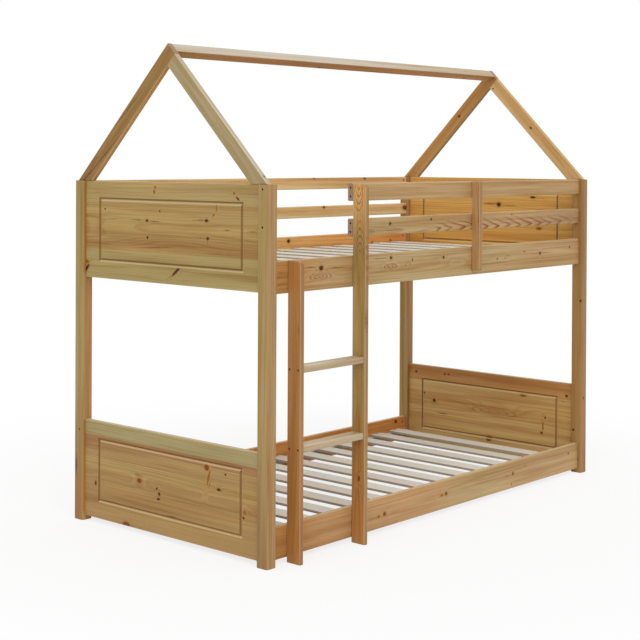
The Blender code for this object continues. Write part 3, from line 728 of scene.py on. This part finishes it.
BOARDS = {
    "post_front_left": (UPRIGHT_LEFT, Look(
        "husk", "olive", "olive", side="buff", heart=(70, -30), ring=3.6, contrast=0.35,
        tails=((-260, 4, 190, 4, 0, 0.25),))),
    "post_back_left": (UPRIGHT_LEFT, Look(
        "hay", "sage", "sage", side="fawn", lip_shade="ginger", heart=(-70, -30), ring=3.8, contrast=0.35,
        knots=(("pin", -290, -4, 3, 2.5),), tails=((-421, 12, 56, 8, 0, 1.0), (-300, 14, 120, 6, 0, 0.35)))),
    "post_front_right": (UPRIGHT_FRONT, Look(
        "taupe", side="umber", heart=(60, -40), contrast=0.35,
        knots=(("dark", -305, 3, 5, 4.5),),
        flank_knots=(("dark", 108, 19, 5, 4), ("pin", -442, -12, 5, 4), ("faint", -566, 10, 4, 4)))),
    "post_back_right": (UPRIGHT_LEFT, Look(
        "heath", side="toast", heart=(60, -40), contrast=0.35)),
    # the darker chestnut at the left end is painted shade between the post and the left stile
    "side_rail_upper_front": (LEVEL_FRONT, Look(
        "chestnut", "sand", "biscuit", "biscuit", "biscuit", "sand", "sand", heart=(6, -46), ring=4.6,
        contrast=0.42,
        knots=(("dark", -709, 20, 8.5, 7), ("dark", -332, 36, 5.5, 4.5), ("dark", -17, 22, 5, 4),
               ("dark", 642, 6, 6, 5), ("pin", -208, 22, 3, 2.5), ("pin", 526, 20, 3, 2.5),
               ("pin", 335, -1, 3.5, 3)),
        tails=((-765, 24, 56, 3, 0, 0.9), (-632, 17, 76, 3, 0, 0.9), (-390, 36, 60, 2.4, 0, 0.8),
               (-60, 22, 60, 2.4, 0, 0.75), (600, 6, 55, 2.6, 0, 0.75), (680, 7, 40, 2.6, 0, 0.7),
               (-905, 14, 26, 2, 0, 0.9), (-915, 0, 30, 2, 0, 0.8), (-905, -22, 26, 2, 0, 0.6),
               (70, 10, 80, 1.8, -4, 0.7)),
        ovals=((-711, -9, 62, 14, 0, 3.2, 0, 0.9), (-334, 4, 48, 13, 0, 2.4, 0, 0.9),
               (-235, 8, 34, 10, 0, 1.6, 0, 0.8), (400, 3, 30, 9, 20, 1.6, 0, 0.8)),
        eyes=((-711, -9, 60, 13, 3.0), (-334, 6, 55, 13, 2.0), (70, 2, 80, 16, 2.0)))),
    # the darker caramel at the left end is painted shade between the post and the left stile
    "side_rail_lower_front": (LEVEL_FRONT, Look(
        "caramel", "peach", "peach", "biscuit", "sand", "sand", heart=(-10, -60), ring=4.8, taper=5,
        contrast=0.34,
        knots=(("red", -361, -6, 7, 6), ("faint", -395, -10, 6, 4), ("red", 7, 2, 6, 5.5),
               ("faint", -20, 0, 8, 4), ("red", 454, 4, 5.5, 5.5), ("pin", 540, 21, 3, 2.6),
               ("pin", 445, -36, 3, 2.6)),
        tails=((-410, -11, 40, 4, 0, 0.4), (-110, 4, 100, 2, 0, 0.3), (412, 2, 40, 4, 0, 0.5)),
        eyes=((-620, 4, 120, 22, 1.5), (230, 0, 160, 24, 1.5)))),
    "guard_top_front": (LEVEL_FRONT, Look("sand", "sand", heart=(60, -36), ring=4.2, contrast=0.38)),
    "guard_middle_front": (LEVEL_FRONT, Look(
        "biscuit", "sand", "tan", heart=(-16, -24), ring=4.4, taper=30, wander=10, contrast=0.5,
        knots=(("dark", -536, 8, 5.5, 5), ("dark", -294, 16, 4, 3.5), ("pin", 238, 20, 3, 2.5)),
        tails=((-545, -16, 130, 2.4, 0, 0.8), (-350, -24, 60, 3, 4, 0.6)),
        chevrons=(-227, 640, 77, -20, 3.6, 2.4))),
    "guard_support": (UPRIGHT_LEFT, Look(
        "peach", "peach", side="tan", heart=(8, -40), contrast=0.4,
        tails=((0, -14, 260, 2, 0, 0.8), (30, 6, 120, 2, 0, 0.4)))),
    "ladder_stile_left": (UPRIGHT_LEFT, Look(
        "caramel", side="toast", heart=(-20, -46), ring=4.0, contrast=0.42, rounded=True,
        tails=((270, -20, 34, 2, 0, 0.8),), eyes=((-60, -8, 150, 10, 2.0),))),
    "ladder_stile_right": (UPRIGHT_LEFT, Look(
        "caramel", "caramel", "reed", "reed", "reed", "corn", side="buff", heart=(2, -30), ring=4.0, taper=16,
        contrast=0.5, rounded=True, knots=(("red", -395, -4, 9, 4.5),),
        tails=((-340, -4, 60, 2, 0, 0.4), (-440, -4, 50, 2, 0, 0.4), (150, -28, 60, 2, 0, 0.7)),
        ovals=((640, 3, 118, 28, 0, 5, 0, 0.8), (150, -4, 350, 44, 0, 14, 0.74, 0.8)))),
    "ladder_tread_lower": (LEVEL_TOP, Look(
        "oatmeal", "oat", side="oat", heart=(12, -40), contrast=0.3, top=0)),
    "ladder_tread_upper": (LEVEL_TOP, Look(
        "oatmeal", "oat", side="oat", heart=(-8, -50), contrast=0.3, top=0)),
    "guard_top_back": (LEVEL_FRONT, Look(
        "apricot", heart=(40, -40), ring=4.0, contrast=0.36, bands=((-60, -4, "butter", 0.7),),
        knots=(("dark", 291, 25, 5, 4.5), ("dark", 636, 21, 6, 5)))),
    "guard_middle_back": (LEVEL_FRONT, Look(
        "apricot", heart=(-40, -40), ring=4.0, contrast=0.36, bands=((-60, 4, "cream", 0.75),),
        knots=(("dark", 358, 20, 6, 5), ("red", 929, 4, 11, 9)), tails=((908, 3, 26, 8, 0, 0.3),))),
    "side_rail_upper_back": (LEVEL_FRONT, Look(
        "melon", "melon", "amber", heart=(10, -50), ring=4.6, contrast=0.45,
        knots=(("dark", 130, 36, 8, 6.5), ("pin", 691, 9, 4, 3), ("pin", 822, 13, 4, 3),
               ("pin", 914, 33, 3, 3)))),
    "side_rail_lower_back": (LEVEL_FRONT, Look(
        "amber", heart=(-10, -60), ring=4.6, contrast=0.4,
        knots=(("dark", 870, 37, 7, 6), ("pin", 919, 31, 4, 3)))),
    "end_panel_upper_left": (END_LEFT, Look(
        "sage", heart=(10, -70), ring=4.8, taper=6, wander=30, contrast=0.5, streaks=0.75, routed=True,
        staves=((-69, "straw"), (98, "olive")), bands=((-66, -22, "bark", 0.25),),
        knots=(("faint", -65, 157, 5, 4), ("faint", -71, 142, 5, 6), ("faint", 322, 144, 5, 4, -30),
               ("dark", 339, 127, 7, 2.5, -45), ("pin", -334, 75, 3, 3), ("pin", -41, 75, 3, 3),
               ("faint", 239, 93, 2.5, 10), ("faint", 226, 70, 3, 6, -30), ("dark", -107, 40, 6, 3.5),
               ("dark", 192, 50, 7, 4), ("pin", -104, -19, 4.5, 4), ("dark", 198, -10, 5, 5),
               ("dark", 42, -131, 20, 4, 38), ("dark", -433, -142, 16, 5, 50), ("faint", -436, -120, 12, 6)),
        tails=((-70, 39, 45, 3, 0, 0.8), (-158, 41, 52, 3.2, 0, 0.8), (160, 50, 50, 3.2, 0, 0.9),
               (165, -10, 44, 2.6, 0, 0.7), (198, -24, 3, 12, 0, 0.6), (290, 21, 26, 4, 0, 0.8),
               (410, 20, 28, 4, 0, 0.5), (20, -146, 46, 3, 30, 0.5), (-420, -118, 26, 4, 20, 0.6),
               (-290, 40, 90, 2, 4, 0.6), (-350, -50, 110, 4, 0, 0.5), (-60, -52, 160, 4, 3, 0.5),
               (260, -60, 120, 4, 0, 0.4), (355, 112, 14, 2.5, -50, 0.8)),
        eyes=((-300, 10, 160, 30, 2.5), (40, -30, 220, 24, 3.0)))),
    "end_panel_lower_left": (END_LEFT, Look(
        "honey", heart=(-12, -70), ring=4.8, taper=6, wander=30, contrast=0.5, streaks=0.7, routed=True,
        staves=((-112, "honey"), (-56, "honey"), (0, "straw"), (50, "honey"), (96, "toast"), (124, "moss")),
        knots=(("red", -142, -4, 10, 7), ("dark", -50, -18, 5, 3, 30), ("dark", -38, -34, 5, 5, -40),
               ("dark", -42, -53, 6, 4), ("dark", -380, -50, 4, 7), ("red", 198, 93, 9, 9),
               ("faint", 207, 60, 4, 24, -14), ("dark", 257, 27, 8, 4), ("pin", 288, 83, 4, 3),
               ("faint", 379, -29, 6, 6), ("dark", 372, -47, 4, 4), ("red", -211, -171, 16, 8)),
        tails=((-152, 16, 22, 8, 0, 0.35), (29, -103, 44, 4, 0, 0.9), (0, 35, 240, 2.5, 0, 0.35),
               (60, -30, 160, 3, 0, 0.25), (213, 40, 4, 22, -14, 0.7)))),
    "end_panel_upper_right": (END_LEFT, Look(
        "gold", heart=(0, -60), ring=5.2, taper=8, wander=34, contrast=0.5, streaks=0.85, routed=True,
        staves=((-70, "gold"), (60, "gold"), (110, "gold")),
        knots=(("dark", 56, 59, 9, 8), ("dark", 234, 95, 10, 4), ("faint", 266, -40, 12, 5)),
        tails=((10, 62, 60, 9, 0, 0.6), (110, 56, 70, 7, 0, 0.5), (270, 92, 60, 3, 0, 0.6)))),
    "end_panel_lower_right": (END_LEFT, Look(
        "hazel", heart=(6, -66), ring=4.8, taper=7, wander=30, contrast=0.42, streaks=0.8, routed=True,
        staves=((-112, "hazel"), (-56, "hazel"), (0, "hazel"), (54, "hazel"), (108, "caramel")),
        bands=((0, 50, "brass", 0.45),),
        knots=(("dark", -399, 143, 5, 5), ("red", -235, 148, 6, 4), ("red", -213, 149, 6, 4),
               ("dark", -353, 50, 5, 4), ("dark", -294, 20, 7, 6), ("red", 10, -115, 12, 10),
               ("faint", 190, 100, 13, 6), ("dark", 410, 122, 5, 5), ("pin", 304, 16, 4, 4),
               ("faint", 292, -22, 3, 16), ("dark", 286, -52, 5, 4)),
        tails=((-246, -34, 48, 4, 0, 1.0), (-380, -8, 60, 3, 0, 0.5), (395, 95, 20, 5, 0, 0.4),
               (370, -100, 30, 5, 0, 0.5)),
        ovals=((36, 8, 130, 22, 0, 3.2, 0, 0.45),), eyes=((60, 24, 130, 26, 3.0),))),
    "rafter_front_left": (FRONT_SLOPE, Look(
        "khaki", side="linen", heart=(40, -30), ring=4.0, contrast=0.3, bands=((-6, 4, "oat", 0.6),), top=0,
        shaded_bores=False)),
    "rafter_back_left": (BACK_SLOPE, Look(
        "stubble", "drab", "drab", side="brass", heart=(14, -18), ring=4.4, taper=26, contrast=0.6, top=0,
        tails=((-300, 4, 110, 5, -6, 0.9), (-160, -12, 150, 5, -5, 0.8), (-330, -16, 70, 6, -6, 0.8),
               (40, 14, 160, 5, -4, 0.7)),
        shaded_bores=False)),
    "rafter_front_right": (FRONT_SLOPE, Look(
        "wheat", side="wheat", heart=(40, -30), ring=4.0, contrast=0.35, top=0, shaded_bores=False,
        knots=(("dark", 30, 0, 4.5, 4),))),
    "rafter_back_right": (BACK_SLOPE, Look(
        "brass", side="stubble", heart=(30, -24), ring=4.2, contrast=0.35, top=0, shaded_bores=False,
        knots=(("dark", 80, 2, 5, 4),))),
    "ridge_beam": (RIDGE, Look(
        "linen", "linen", "oat", side="clay", heart=(40, -20), ring=4.0, contrast=0.3, top=0, shaded_bores=False,
        flank_knots=(("dark", -200, -13, 6, 4), ("faint", 745, -5, 5, 4)))),
}


# Raw pine of the slats and their cleats

RAW_TONES = (linear("D7D4C8"), linear("E3E0D6"), linear("DACFC5"))
RAW_LINE_TINT = (0.86, 0.76, 0.64)
RAW_FIBRE_TINT = (0.88, 0.84, 0.78)
RAW_STAIN_TINT = (0.92, 0.84, 0.74)
# painted shade on the raw boards' side faces
RAW_SIDE_SHADE = linear("A08D78")
RAW_DRIFT = ((1.4, 2.0, 2.0), 1, 0.5)
RAW_FIBRE = ((10, 300, 300), 3, 0.6)
RAW_STAIN = ((3, 12, 12), 2, 0.5)
RAW_RING_LINE = (0.35, 0.85, 0.92, 1.0)
RAW_RING = 4.2
RAW_SWING = 20
RAW_HEART_SPREAD = 80
RAW_BOW = 40
RAW_TAPER = 0.006
DECK_STEP = 31
# In metres: a level between the decks, and a pitch that gives each cleat a number of its own
BETWEEN_DECKS = 0.5
CLEAT_PITCH = 0.4


def raw_pine(name, along_axis, row_axis, first, pitch):
    """Planed pine without varnish. One finish serves a row of like boards, and each gets its own shade."""
    finish = Finish(name)
    place = finish.place()
    normal = finish.normal()
    along = finish.dot(place, along_axis)
    row = finish.dot(place, row_axis)
    level = finish.dot(place, UP)
    number = ((row - first) / pitch + 0.5).whole() + level.above(BETWEEN_DECKS) * DECK_STEP
    own = finish.chance(number)
    other = finish.chance(number + 100.5)
    grain = finish.combined(along + own * 9, row, level)
    drift = finish.noises(grain, RAW_DRIFT, (3.3, 7.7, 1.9))
    y = row + drift[1] * (RAW_SWING * MM) + (other - 0.5) * (RAW_HEART_SPREAD * MM)
    z = level + drift[2] * (RAW_SWING * MM)
    count = (y * y * RAW_BOW + along * RAW_TAPER + z) / (RAW_RING * MM) + drift[0] * 2 + own * 5
    late = count.fraction().between(*RAW_RING_LINE)
    fibre = finish.noise(grain, RAW_FIBRE, (9.1, 2.2, 4.8))
    stain = finish.noise(grain, RAW_STAIN, (1.1, 5.2, 6.8))
    colour = finish.mix(own, RAW_TONES[0], RAW_TONES[1])
    colour = finish.mix(other.rise(0.55, 0.9) * 0.8, colour, RAW_TONES[2])
    colour = finish.tinted(late * 0.35, colour, RAW_LINE_TINT)
    colour = finish.tinted(fibre.rise(0.45, 0.85) * 0.45, colour, RAW_FIBRE_TINT)
    colour = finish.tinted(stain.rise(0.55, 0.8) * 0.3, colour, RAW_STAIN_TINT)
    # painted shade: the side faces of slats and cleats are painted darker
    side = 1 - abs(finish.dot(normal, UP)).rise(0.3, 0.8)
    colour = finish.mix(side * 0.85, colour, RAW_SIDE_SHADE)
    height = fibre * 0.6 - late * 0.3
    return finish.close("ShaderNodeBsdfPrincipled", {
        "Base Color": colour,
        "Roughness": 0.62 + 0.16 * fibre,
        "Specular IOR Level": 0.3,
        "Normal": finish.bump(height, GRAIN_RELIEF * MM, 0.6),
    })


def dress(node, material):
    slots = NODES[node].material_slots
    if not slots:
        NODES[node].data.materials.append(material)
    for slot in slots:
        slot.material = material


def dress_boards():
    for number, (node, (axes, look)) in enumerate(BOARDS.items()):
        dress(node, pine(Board(node, *axes), look, number + 1))


def dress_slats():
    first, second = (middle(f"slat_lower_{number}").x for number in ("01", "02"))
    slats = raw_pine("slat_raw_pine", BACK, RIGHT, first, second - first)
    cleats = raw_pine("cleat_raw_pine", RIGHT, BACK, 0.0, CLEAT_PITCH)
    for node in NODES:
        if node.startswith("slat_cleat"):
            dress(node, cleats)
        elif node.startswith("slat_"):
            dress(node, slats)


# Steel heads in their holes, with sizes in millimetres. A hexagon's recess width is its radius.

Head = namedtuple("Head", "recess radius height recess_width recess_depth")
BOLT = Head("hexagon", radius=3.8, height=3.4, recess_width=2.1, recess_depth=2.2)
NUT = Head("slot", radius=4.3, height=9.0, recess_width=1.3, recess_depth=1.5)
SCREW = Head("cross", radius=3.7, height=2.6, recess_width=0.9, recess_depth=1.6)
SLAT_SCREW = Head("cross", radius=3.6, height=1.0, recess_width=0.8, recess_depth=0.6)
HEAD_SIDES = 24
HEAD_TOP_SHARE = 0.86
RECESS_LENGTH_SHARE = 1.3
BOLT_SUNK = 4.5
NUT_SUNK = 5.0
POCKET_SCREW_SUNK = 6.0
TREAD_SCREW_SUNK = 2.2
BACK_SCREW_SUNK = 1.2
FOOT_SCREW_RISE = 2.4
SLAT_SCREW_RISE = 0.7
HOLE_FROM_GUARD_EDGE = 16
NUT_FROM_POST = 72
GUARD_NUT_FROM_POST = 23
NUT_BELOW_RAIL_TOP = 33
TREAD_SCREW_FROM_EDGE = 10
STILE_SCREW_BELOW_RAIL_TOP = 55
RAFTER_WIDTH = 55
RAFTER_SCREW_FROM_POST_SIDE = 37
RAFTER_SCREW_SEAT = 12
POCKET_FROM_JOINT = 16
POCKET_FROM_UNDERSIDE = 11
ROOF_SLOPE = math.sin(math.radians(45))
STEEL_TONES = (linear("3E3830"), linear("5C554A"))
STEEL_SCRATCH = ((900, 900, 900), 3, 0.6)
STEEL_RELIEF = 0.1
HEAD_TURN_SEED = 5
ENDS = (("left", LEFT), ("right", RIGHT))
SCREWED_FROM_BEHIND = {
    "ladder_stile_left": ("side_rail_upper_front", "side_rail_lower_front"),
    "ladder_stile_right": (
        "side_rail_upper_front", "side_rail_lower_front", "guard_top_front", "guard_middle_front"),
    "guard_support": ("side_rail_upper_front", "guard_top_front", "guard_middle_front"),
}


def steel():
    finish = Finish("zinc_steel")
    place = finish.place()
    scratch = finish.noise(place, STEEL_SCRATCH, (0, 0, 0))
    colour = finish.mix(scratch, *STEEL_TONES)
    return finish.close("ShaderNodeBsdfPrincipled", {
        "Base Color": colour,
        "Metallic": 1.0,
        "Roughness": 0.30 + 0.25 * scratch,
        "Normal": finish.bump(scratch, STEEL_RELIEF * MM, 0.3),
    })


class Pattern(Nodes):
    """A Geometry Nodes tree with named inputs."""

    def __init__(self, name):
        super().__init__(bpy.data.node_groups.new(name, "GeometryNodeTree"))
        for way in ("INPUT", "OUTPUT"):
            self.tree.interface.new_socket("Geometry", in_out=way, socket_type="NodeSocketGeometry")
        self.start = self.node("NodeGroupInput")
        self.end = self.node("NodeGroupOutput")

    def input(self, name, kind):
        self.tree.interface.new_socket(name, in_out="INPUT", socket_type=kind)
        return Number(self, self.start.outputs[name])

    def close(self, geometry):
        self.tree.links.new(geometry, self.end.inputs[0])
        return self.tree


def head_pattern(recess):
    """Steel heads at points that know which way they face. The recess is a hexagon, a cross or a slot."""
    nodes = Pattern(recess + " heads")
    radius = nodes.input("Head Radius", "NodeSocketFloat")
    height = nodes.input("Head Height", "NodeSocketFloat")
    width = nodes.input("Recess Width", "NodeSocketFloat")
    depth = nodes.input("Recess Depth", "NodeSocketFloat")
    finish = nodes.input("Finish", "NodeSocketMaterial")
    head = nodes.node("GeometryNodeMeshCone", None, {
        "Vertices": HEAD_SIDES, "Radius Top": radius * HEAD_TOP_SHARE, "Radius Bottom": radius,
        "Depth": height})
    sink = nodes.node("ShaderNodeCombineXYZ", None, {2: -height})
    head = nodes.node("GeometryNodeTransform", None, {
        "Geometry": head.outputs["Mesh"], "Translation": sink.outputs[0]})
    if recess == "hexagon":
        tool = nodes.node("GeometryNodeMeshCylinder", None, {
            "Vertices": 6, "Radius": width, "Depth": depth * 2})
    else:
        size = nodes.node("ShaderNodeCombineXYZ", None, {
            0: radius * RECESS_LENGTH_SHARE, 1: width, 2: depth * 2})
        tool = nodes.node("GeometryNodeMeshCube", None, {"Size": size.outputs[0]})
    cut = nodes.node("GeometryNodeMeshBoolean", {"operation": "DIFFERENCE"}, {
        "Mesh 1": head.outputs[0], "Mesh 2": tool.outputs["Mesh"]})
    if recess == "cross":
        turned = nodes.node("GeometryNodeTransform", None, {
            "Geometry": tool.outputs["Mesh"], "Rotation": (0, 0, math.pi / 2)})
        nodes.tree.links.new(turned.outputs[0], cut.inputs["Mesh 2"])
    facing = nodes.node("GeometryNodeInputNamedAttribute", {"data_type": "FLOAT_VECTOR"}, {"Name": "facing"})
    aligned = nodes.node("FunctionNodeAlignRotationToVector", {"axis": "Z"}, {"Vector": facing.outputs[0]})
    spin = nodes.node("FunctionNodeRandomValue", {"data_type": "FLOAT"}, {"Seed": HEAD_TURN_SEED})
    own_turn = nodes.node("FunctionNodeAxisAngleToRotation", None, {
        "Axis": (0, 0, 1), "Angle": Number(nodes, spin.outputs[1]) * math.tau})
    rotation = nodes.node("FunctionNodeRotateRotation", {"rotation_space": "LOCAL"}, {
        "Rotation": aligned.outputs[0], "Rotate By": own_turn.outputs[0]})
    placed = nodes.node("GeometryNodeInstanceOnPoints", None, {
        "Points": nodes.start.outputs["Geometry"], "Instance": cut.outputs["Mesh"],
        "Rotation": rotation.outputs[0]})
    real = nodes.node("GeometryNodeRealizeInstances", None, {"Geometry": placed.outputs[0]})
    dressed = nodes.node("GeometryNodeSetMaterial", None, {"Geometry": real.outputs[0], "Material": finish})
    return nodes.close(dressed.outputs[0])


def heads(name, head, places, finish):
    """One mesh of like steel heads. A place is a point on the head's outer face and the way it faces."""
    mesh = bpy.data.meshes.new(name + "_places")
    mesh.from_pydata([place for place, facing in places], [], [])
    attribute = mesh.attributes.new("facing", "FLOAT_VECTOR", "POINT")
    for item, (place, facing) in zip(attribute.data, places):
        item.vector = facing
    points = bpy.data.objects.new(name + "_places", mesh)
    bpy.context.scene.collection.objects.link(points)
    modifier = points.modifiers.new("heads", "NODES")
    modifier.node_group = head_pattern(head.recess)
    values = {
        "Head Radius": head.radius * MM,
        "Head Height": head.height * MM,
        "Recess Width": head.recess_width * MM,
        "Recess Depth": head.recess_depth * MM,
        "Finish": finish,
    }
    for item in modifier.node_group.interface.items_tree:
        if item.in_out == "INPUT" and item.name in values:
            modifier[item.identifier] = values[item.name]
    bpy.context.view_layer.update()
    ready = points.evaluated_get(bpy.context.evaluated_depsgraph_get())
    result = bpy.data.meshes.new_from_object(ready)
    points.modifiers.remove(modifier)
    bpy.data.objects.remove(points, do_unlink=True)
    piece = bpy.data.objects.new(name, result)
    bpy.context.scene.collection.objects.link(piece)
    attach(piece, BODY)


def sunk(point, facing, depth):
    return (Vector(point) - Vector(facing) * depth * MM, tuple(facing))


def post_places():
    """The guards' bolts, the barrel nuts and the rafters' foot screws, post by post."""
    bolts = []
    nuts = []
    foot_screws = []
    for side in ("front", "back"):
        for end, outward in ENDS:
            post_low, post_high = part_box(f"post_{side}_{end}")
            outer_x = post_low.x if end == "left" else post_high.x
            inner_x = post_high.x if end == "left" else post_low.x
            for level in ("top", "middle"):
                guard = f"guard_{level}_{side}"
                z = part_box(guard)[1].z - HOLE_FROM_GUARD_EDGE * MM
                if side == "front":
                    bolts.append(sunk((outer_x, middle(guard).y, z), outward, BOLT_SUNK))
                else:
                    x = inner_x - outward.x * GUARD_NUT_FROM_POST * MM
                    nuts.append(sunk((x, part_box(guard)[0].y, z), FRONT, NUT_SUNK))
            for level in ("lower", "upper"):
                low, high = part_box(f"side_rail_{level}_{side}")
                facing = FRONT if side == "front" else BACK
                y = low.y if side == "front" else high.y
                x = inner_x - outward.x * NUT_FROM_POST * MM
                nuts.append(sunk((x, y, high.z - NUT_BELOW_RAIL_TOP * MM), facing, NUT_SUNK))
            rafter = f"rafter_{side}_{end}"
            from_side = RAFTER_SCREW_FROM_POST_SIDE * MM
            y = post_low.y + from_side if side == "front" else post_high.y - from_side
            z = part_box(rafter)[0].z + (RAFTER_SCREW_SEAT + FOOT_SCREW_RISE) * MM
            foot_screws.append(((middle(rafter).x, y, z), tuple(UP)))
    return bolts, nuts, foot_screws


def rafter_joint_places():
    """A screw in the inner face of each front rafter, below the joint with the back one."""
    places = []
    for end, outward in ENDS:
        low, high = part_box(f"rafter_front_{end}")
        x = high.x if end == "left" else low.x
        y = high.y - (POCKET_FROM_JOINT + POCKET_FROM_UNDERSIDE) * MM * ROOF_SLOPE
        z = high.z - (RAFTER_WIDTH + POCKET_FROM_JOINT - POCKET_FROM_UNDERSIDE) * MM * ROOF_SLOPE
        places.append(sunk((x, y, z), -outward, POCKET_SCREW_SUNK))
    return places


def tread_places():
    """Two screws through each stile into the end of each tread."""
    places = []
    for end, outward in ENDS:
        low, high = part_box(f"ladder_stile_{end}")
        x = low.x if end == "left" else high.x
        for level in ("lower", "upper"):
            z = middle(f"ladder_tread_{level}").z
            for y in (low.y + TREAD_SCREW_FROM_EDGE * MM, high.y - TREAD_SCREW_FROM_EDGE * MM):
                places.append(sunk((x, y, z), outward, TREAD_SCREW_SUNK))
    return places


def upright_places():
    """The screws through rails and guards into the backs of the ladder's stiles and the guard support."""
    places = []
    for upright, boards in SCREWED_FROM_BEHIND.items():
        for board in boards:
            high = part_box(board)[1]
            z = middle(board).z
            if board.startswith("side_rail"):
                z = high.z - STILE_SCREW_BELOW_RAIL_TOP * MM
            places.append(sunk((middle(upright).x, high.y, z), BACK, BACK_SCREW_SUNK))
    return places


def slat_places():
    """A screw through each end of each slat into its cleat."""
    places = []
    for node in NODES:
        if node.startswith("slat_") and "cleat" not in node:
            level = node.split("_")[1]
            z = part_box(node)[1].z + SLAT_SCREW_RISE * MM
            for side in ("front", "back"):
                y = middle(f"slat_cleat_{level}_{side}").y
                places.append(((middle(node).x, y, z), tuple(UP)))
    return places


def add_fasteners():
    finish = steel()
    bolts, nuts, foot_screws = post_places()
    heads("guard_bolts", BOLT, bolts, finish)
    heads("rail_barrel_nuts", NUT, nuts, finish)
    heads("rafter_foot_screws", SCREW, foot_screws, finish)
    heads("rafter_joint_screws", SCREW, rafter_joint_places(), finish)
    heads("tread_screws", SCREW, tread_places(), finish)
    heads("ladder_and_support_screws", SCREW, upright_places(), finish)
    heads("slat_screws", SLAT_SCREW, slat_places(), finish)


# Floor, light and camera

def seen_directly(nodes):
    """One for what the camera sees, also in gloss or through glass."""
    path = nodes.node("ShaderNodeLightPath")
    rays = [Number(nodes, path.outputs[f"Is {kind} Ray"]) for kind in ("Camera", "Glossy", "Transmission")]
    return rays[0].most(rays[1]).most(rays[2])


def add_floor():
    mesh = bpy.data.meshes.new("studio_floor")
    shape = bmesh.new()
    bmesh.ops.create_grid(shape, x_segments=1, y_segments=1, size=FLOOR_SIZE / 2)
    shape.to_mesh(mesh)
    shape.free()
    floor = bpy.data.objects.new("studio_floor", mesh)
    bpy.context.scene.collection.objects.link(floor)
    finish = Finish("studio_floor")
    far = finish.length(finish.place()).rise(*FLOOR_FADE)
    near_floor = finish.node("ShaderNodeBsdfDiffuse", None, {"Color": (*linear(FLOOR_TONE), 1)})
    white = finish.node("ShaderNodeEmission", None, {"Color": WHITE, "Strength": 1.0})
    finish.close("ShaderNodeMixShader", {
        0: seen_directly(finish) * (far * (1 - FLOOR_NEAR_WHITE) + FLOOR_NEAR_WHITE),
        1: near_floor.outputs[0],
        2: white.outputs[0],
    })
    mesh.materials.append(finish.material)
    floor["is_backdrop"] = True


def add_world():
    world = bpy.data.worlds.new("white_studio")
    world.use_nodes = True
    world.node_tree.nodes.clear()
    studio = Nodes(world.node_tree)
    fill = studio.node("ShaderNodeBackground", None, {"Color": WHITE, "Strength": SKY_LEVEL})
    white = studio.node("ShaderNodeBackground", None, {"Color": WHITE, "Strength": 1.0})
    seen = studio.node("ShaderNodeMixShader", None, {
        0: seen_directly(studio), 1: fill.outputs[0], 2: white.outputs[0]})
    studio.node("ShaderNodeOutputWorld", None, {0: seen.outputs[0]})
    bpy.context.scene.world = world


def add_light():
    lamp = bpy.data.lights.new("soft_key", "SUN")
    lamp.energy = SUN_LEVEL
    lamp.angle = math.radians(SUN_SOFTNESS_DEGREES)
    item = bpy.data.objects.new("soft_key", lamp)
    item.rotation_mode = "QUATERNION"
    item.rotation_quaternion = Vector(SUN_DIRECTION).to_track_quat("Z", "Y")
    bpy.context.scene.collection.objects.link(item)


def add_camera():
    yaw, pitch, roll = (math.radians(degrees) for degrees in (
        CAMERA_YAW_DEGREES, CAMERA_PITCH_DEGREES, CAMERA_ROLL_DEGREES))
    forward = Vector((math.sin(yaw) * math.cos(pitch), math.cos(yaw) * math.cos(pitch), math.sin(pitch)))
    level = Vector((math.cos(yaw), -math.sin(yaw), 0))
    above = level.cross(forward)
    side = level * math.cos(roll) + above * math.sin(roll)
    top = above * math.cos(roll) - level * math.sin(roll)
    lens = bpy.data.cameras.new("photo_camera")
    lens.sensor_width = CAMERA_SENSOR
    lens.lens = CAMERA_LENS
    lens.shift_x, lens.shift_y = CAMERA_SHIFT
    item = bpy.data.objects.new("photo_camera", lens)
    turn = Matrix((side, top, -forward)).transposed().to_4x4()
    item.matrix_world = Matrix.Translation(CAMERA_PLACE) @ turn
    bpy.context.scene.collection.objects.link(item)
    bpy.context.scene.camera = item


def write_sizes():
    boxes = {"cad": CAD_BOX, "visual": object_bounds()}
    plain = {name: [list(corner) for corner in box] for name, box in boxes.items()}


dress_boards()
dress_slats()
add_fasteners()
add_floor()
add_world()
add_light()
add_camera()
bpy.context.scene.view_settings.view_transform = "Standard"
write_sizes()
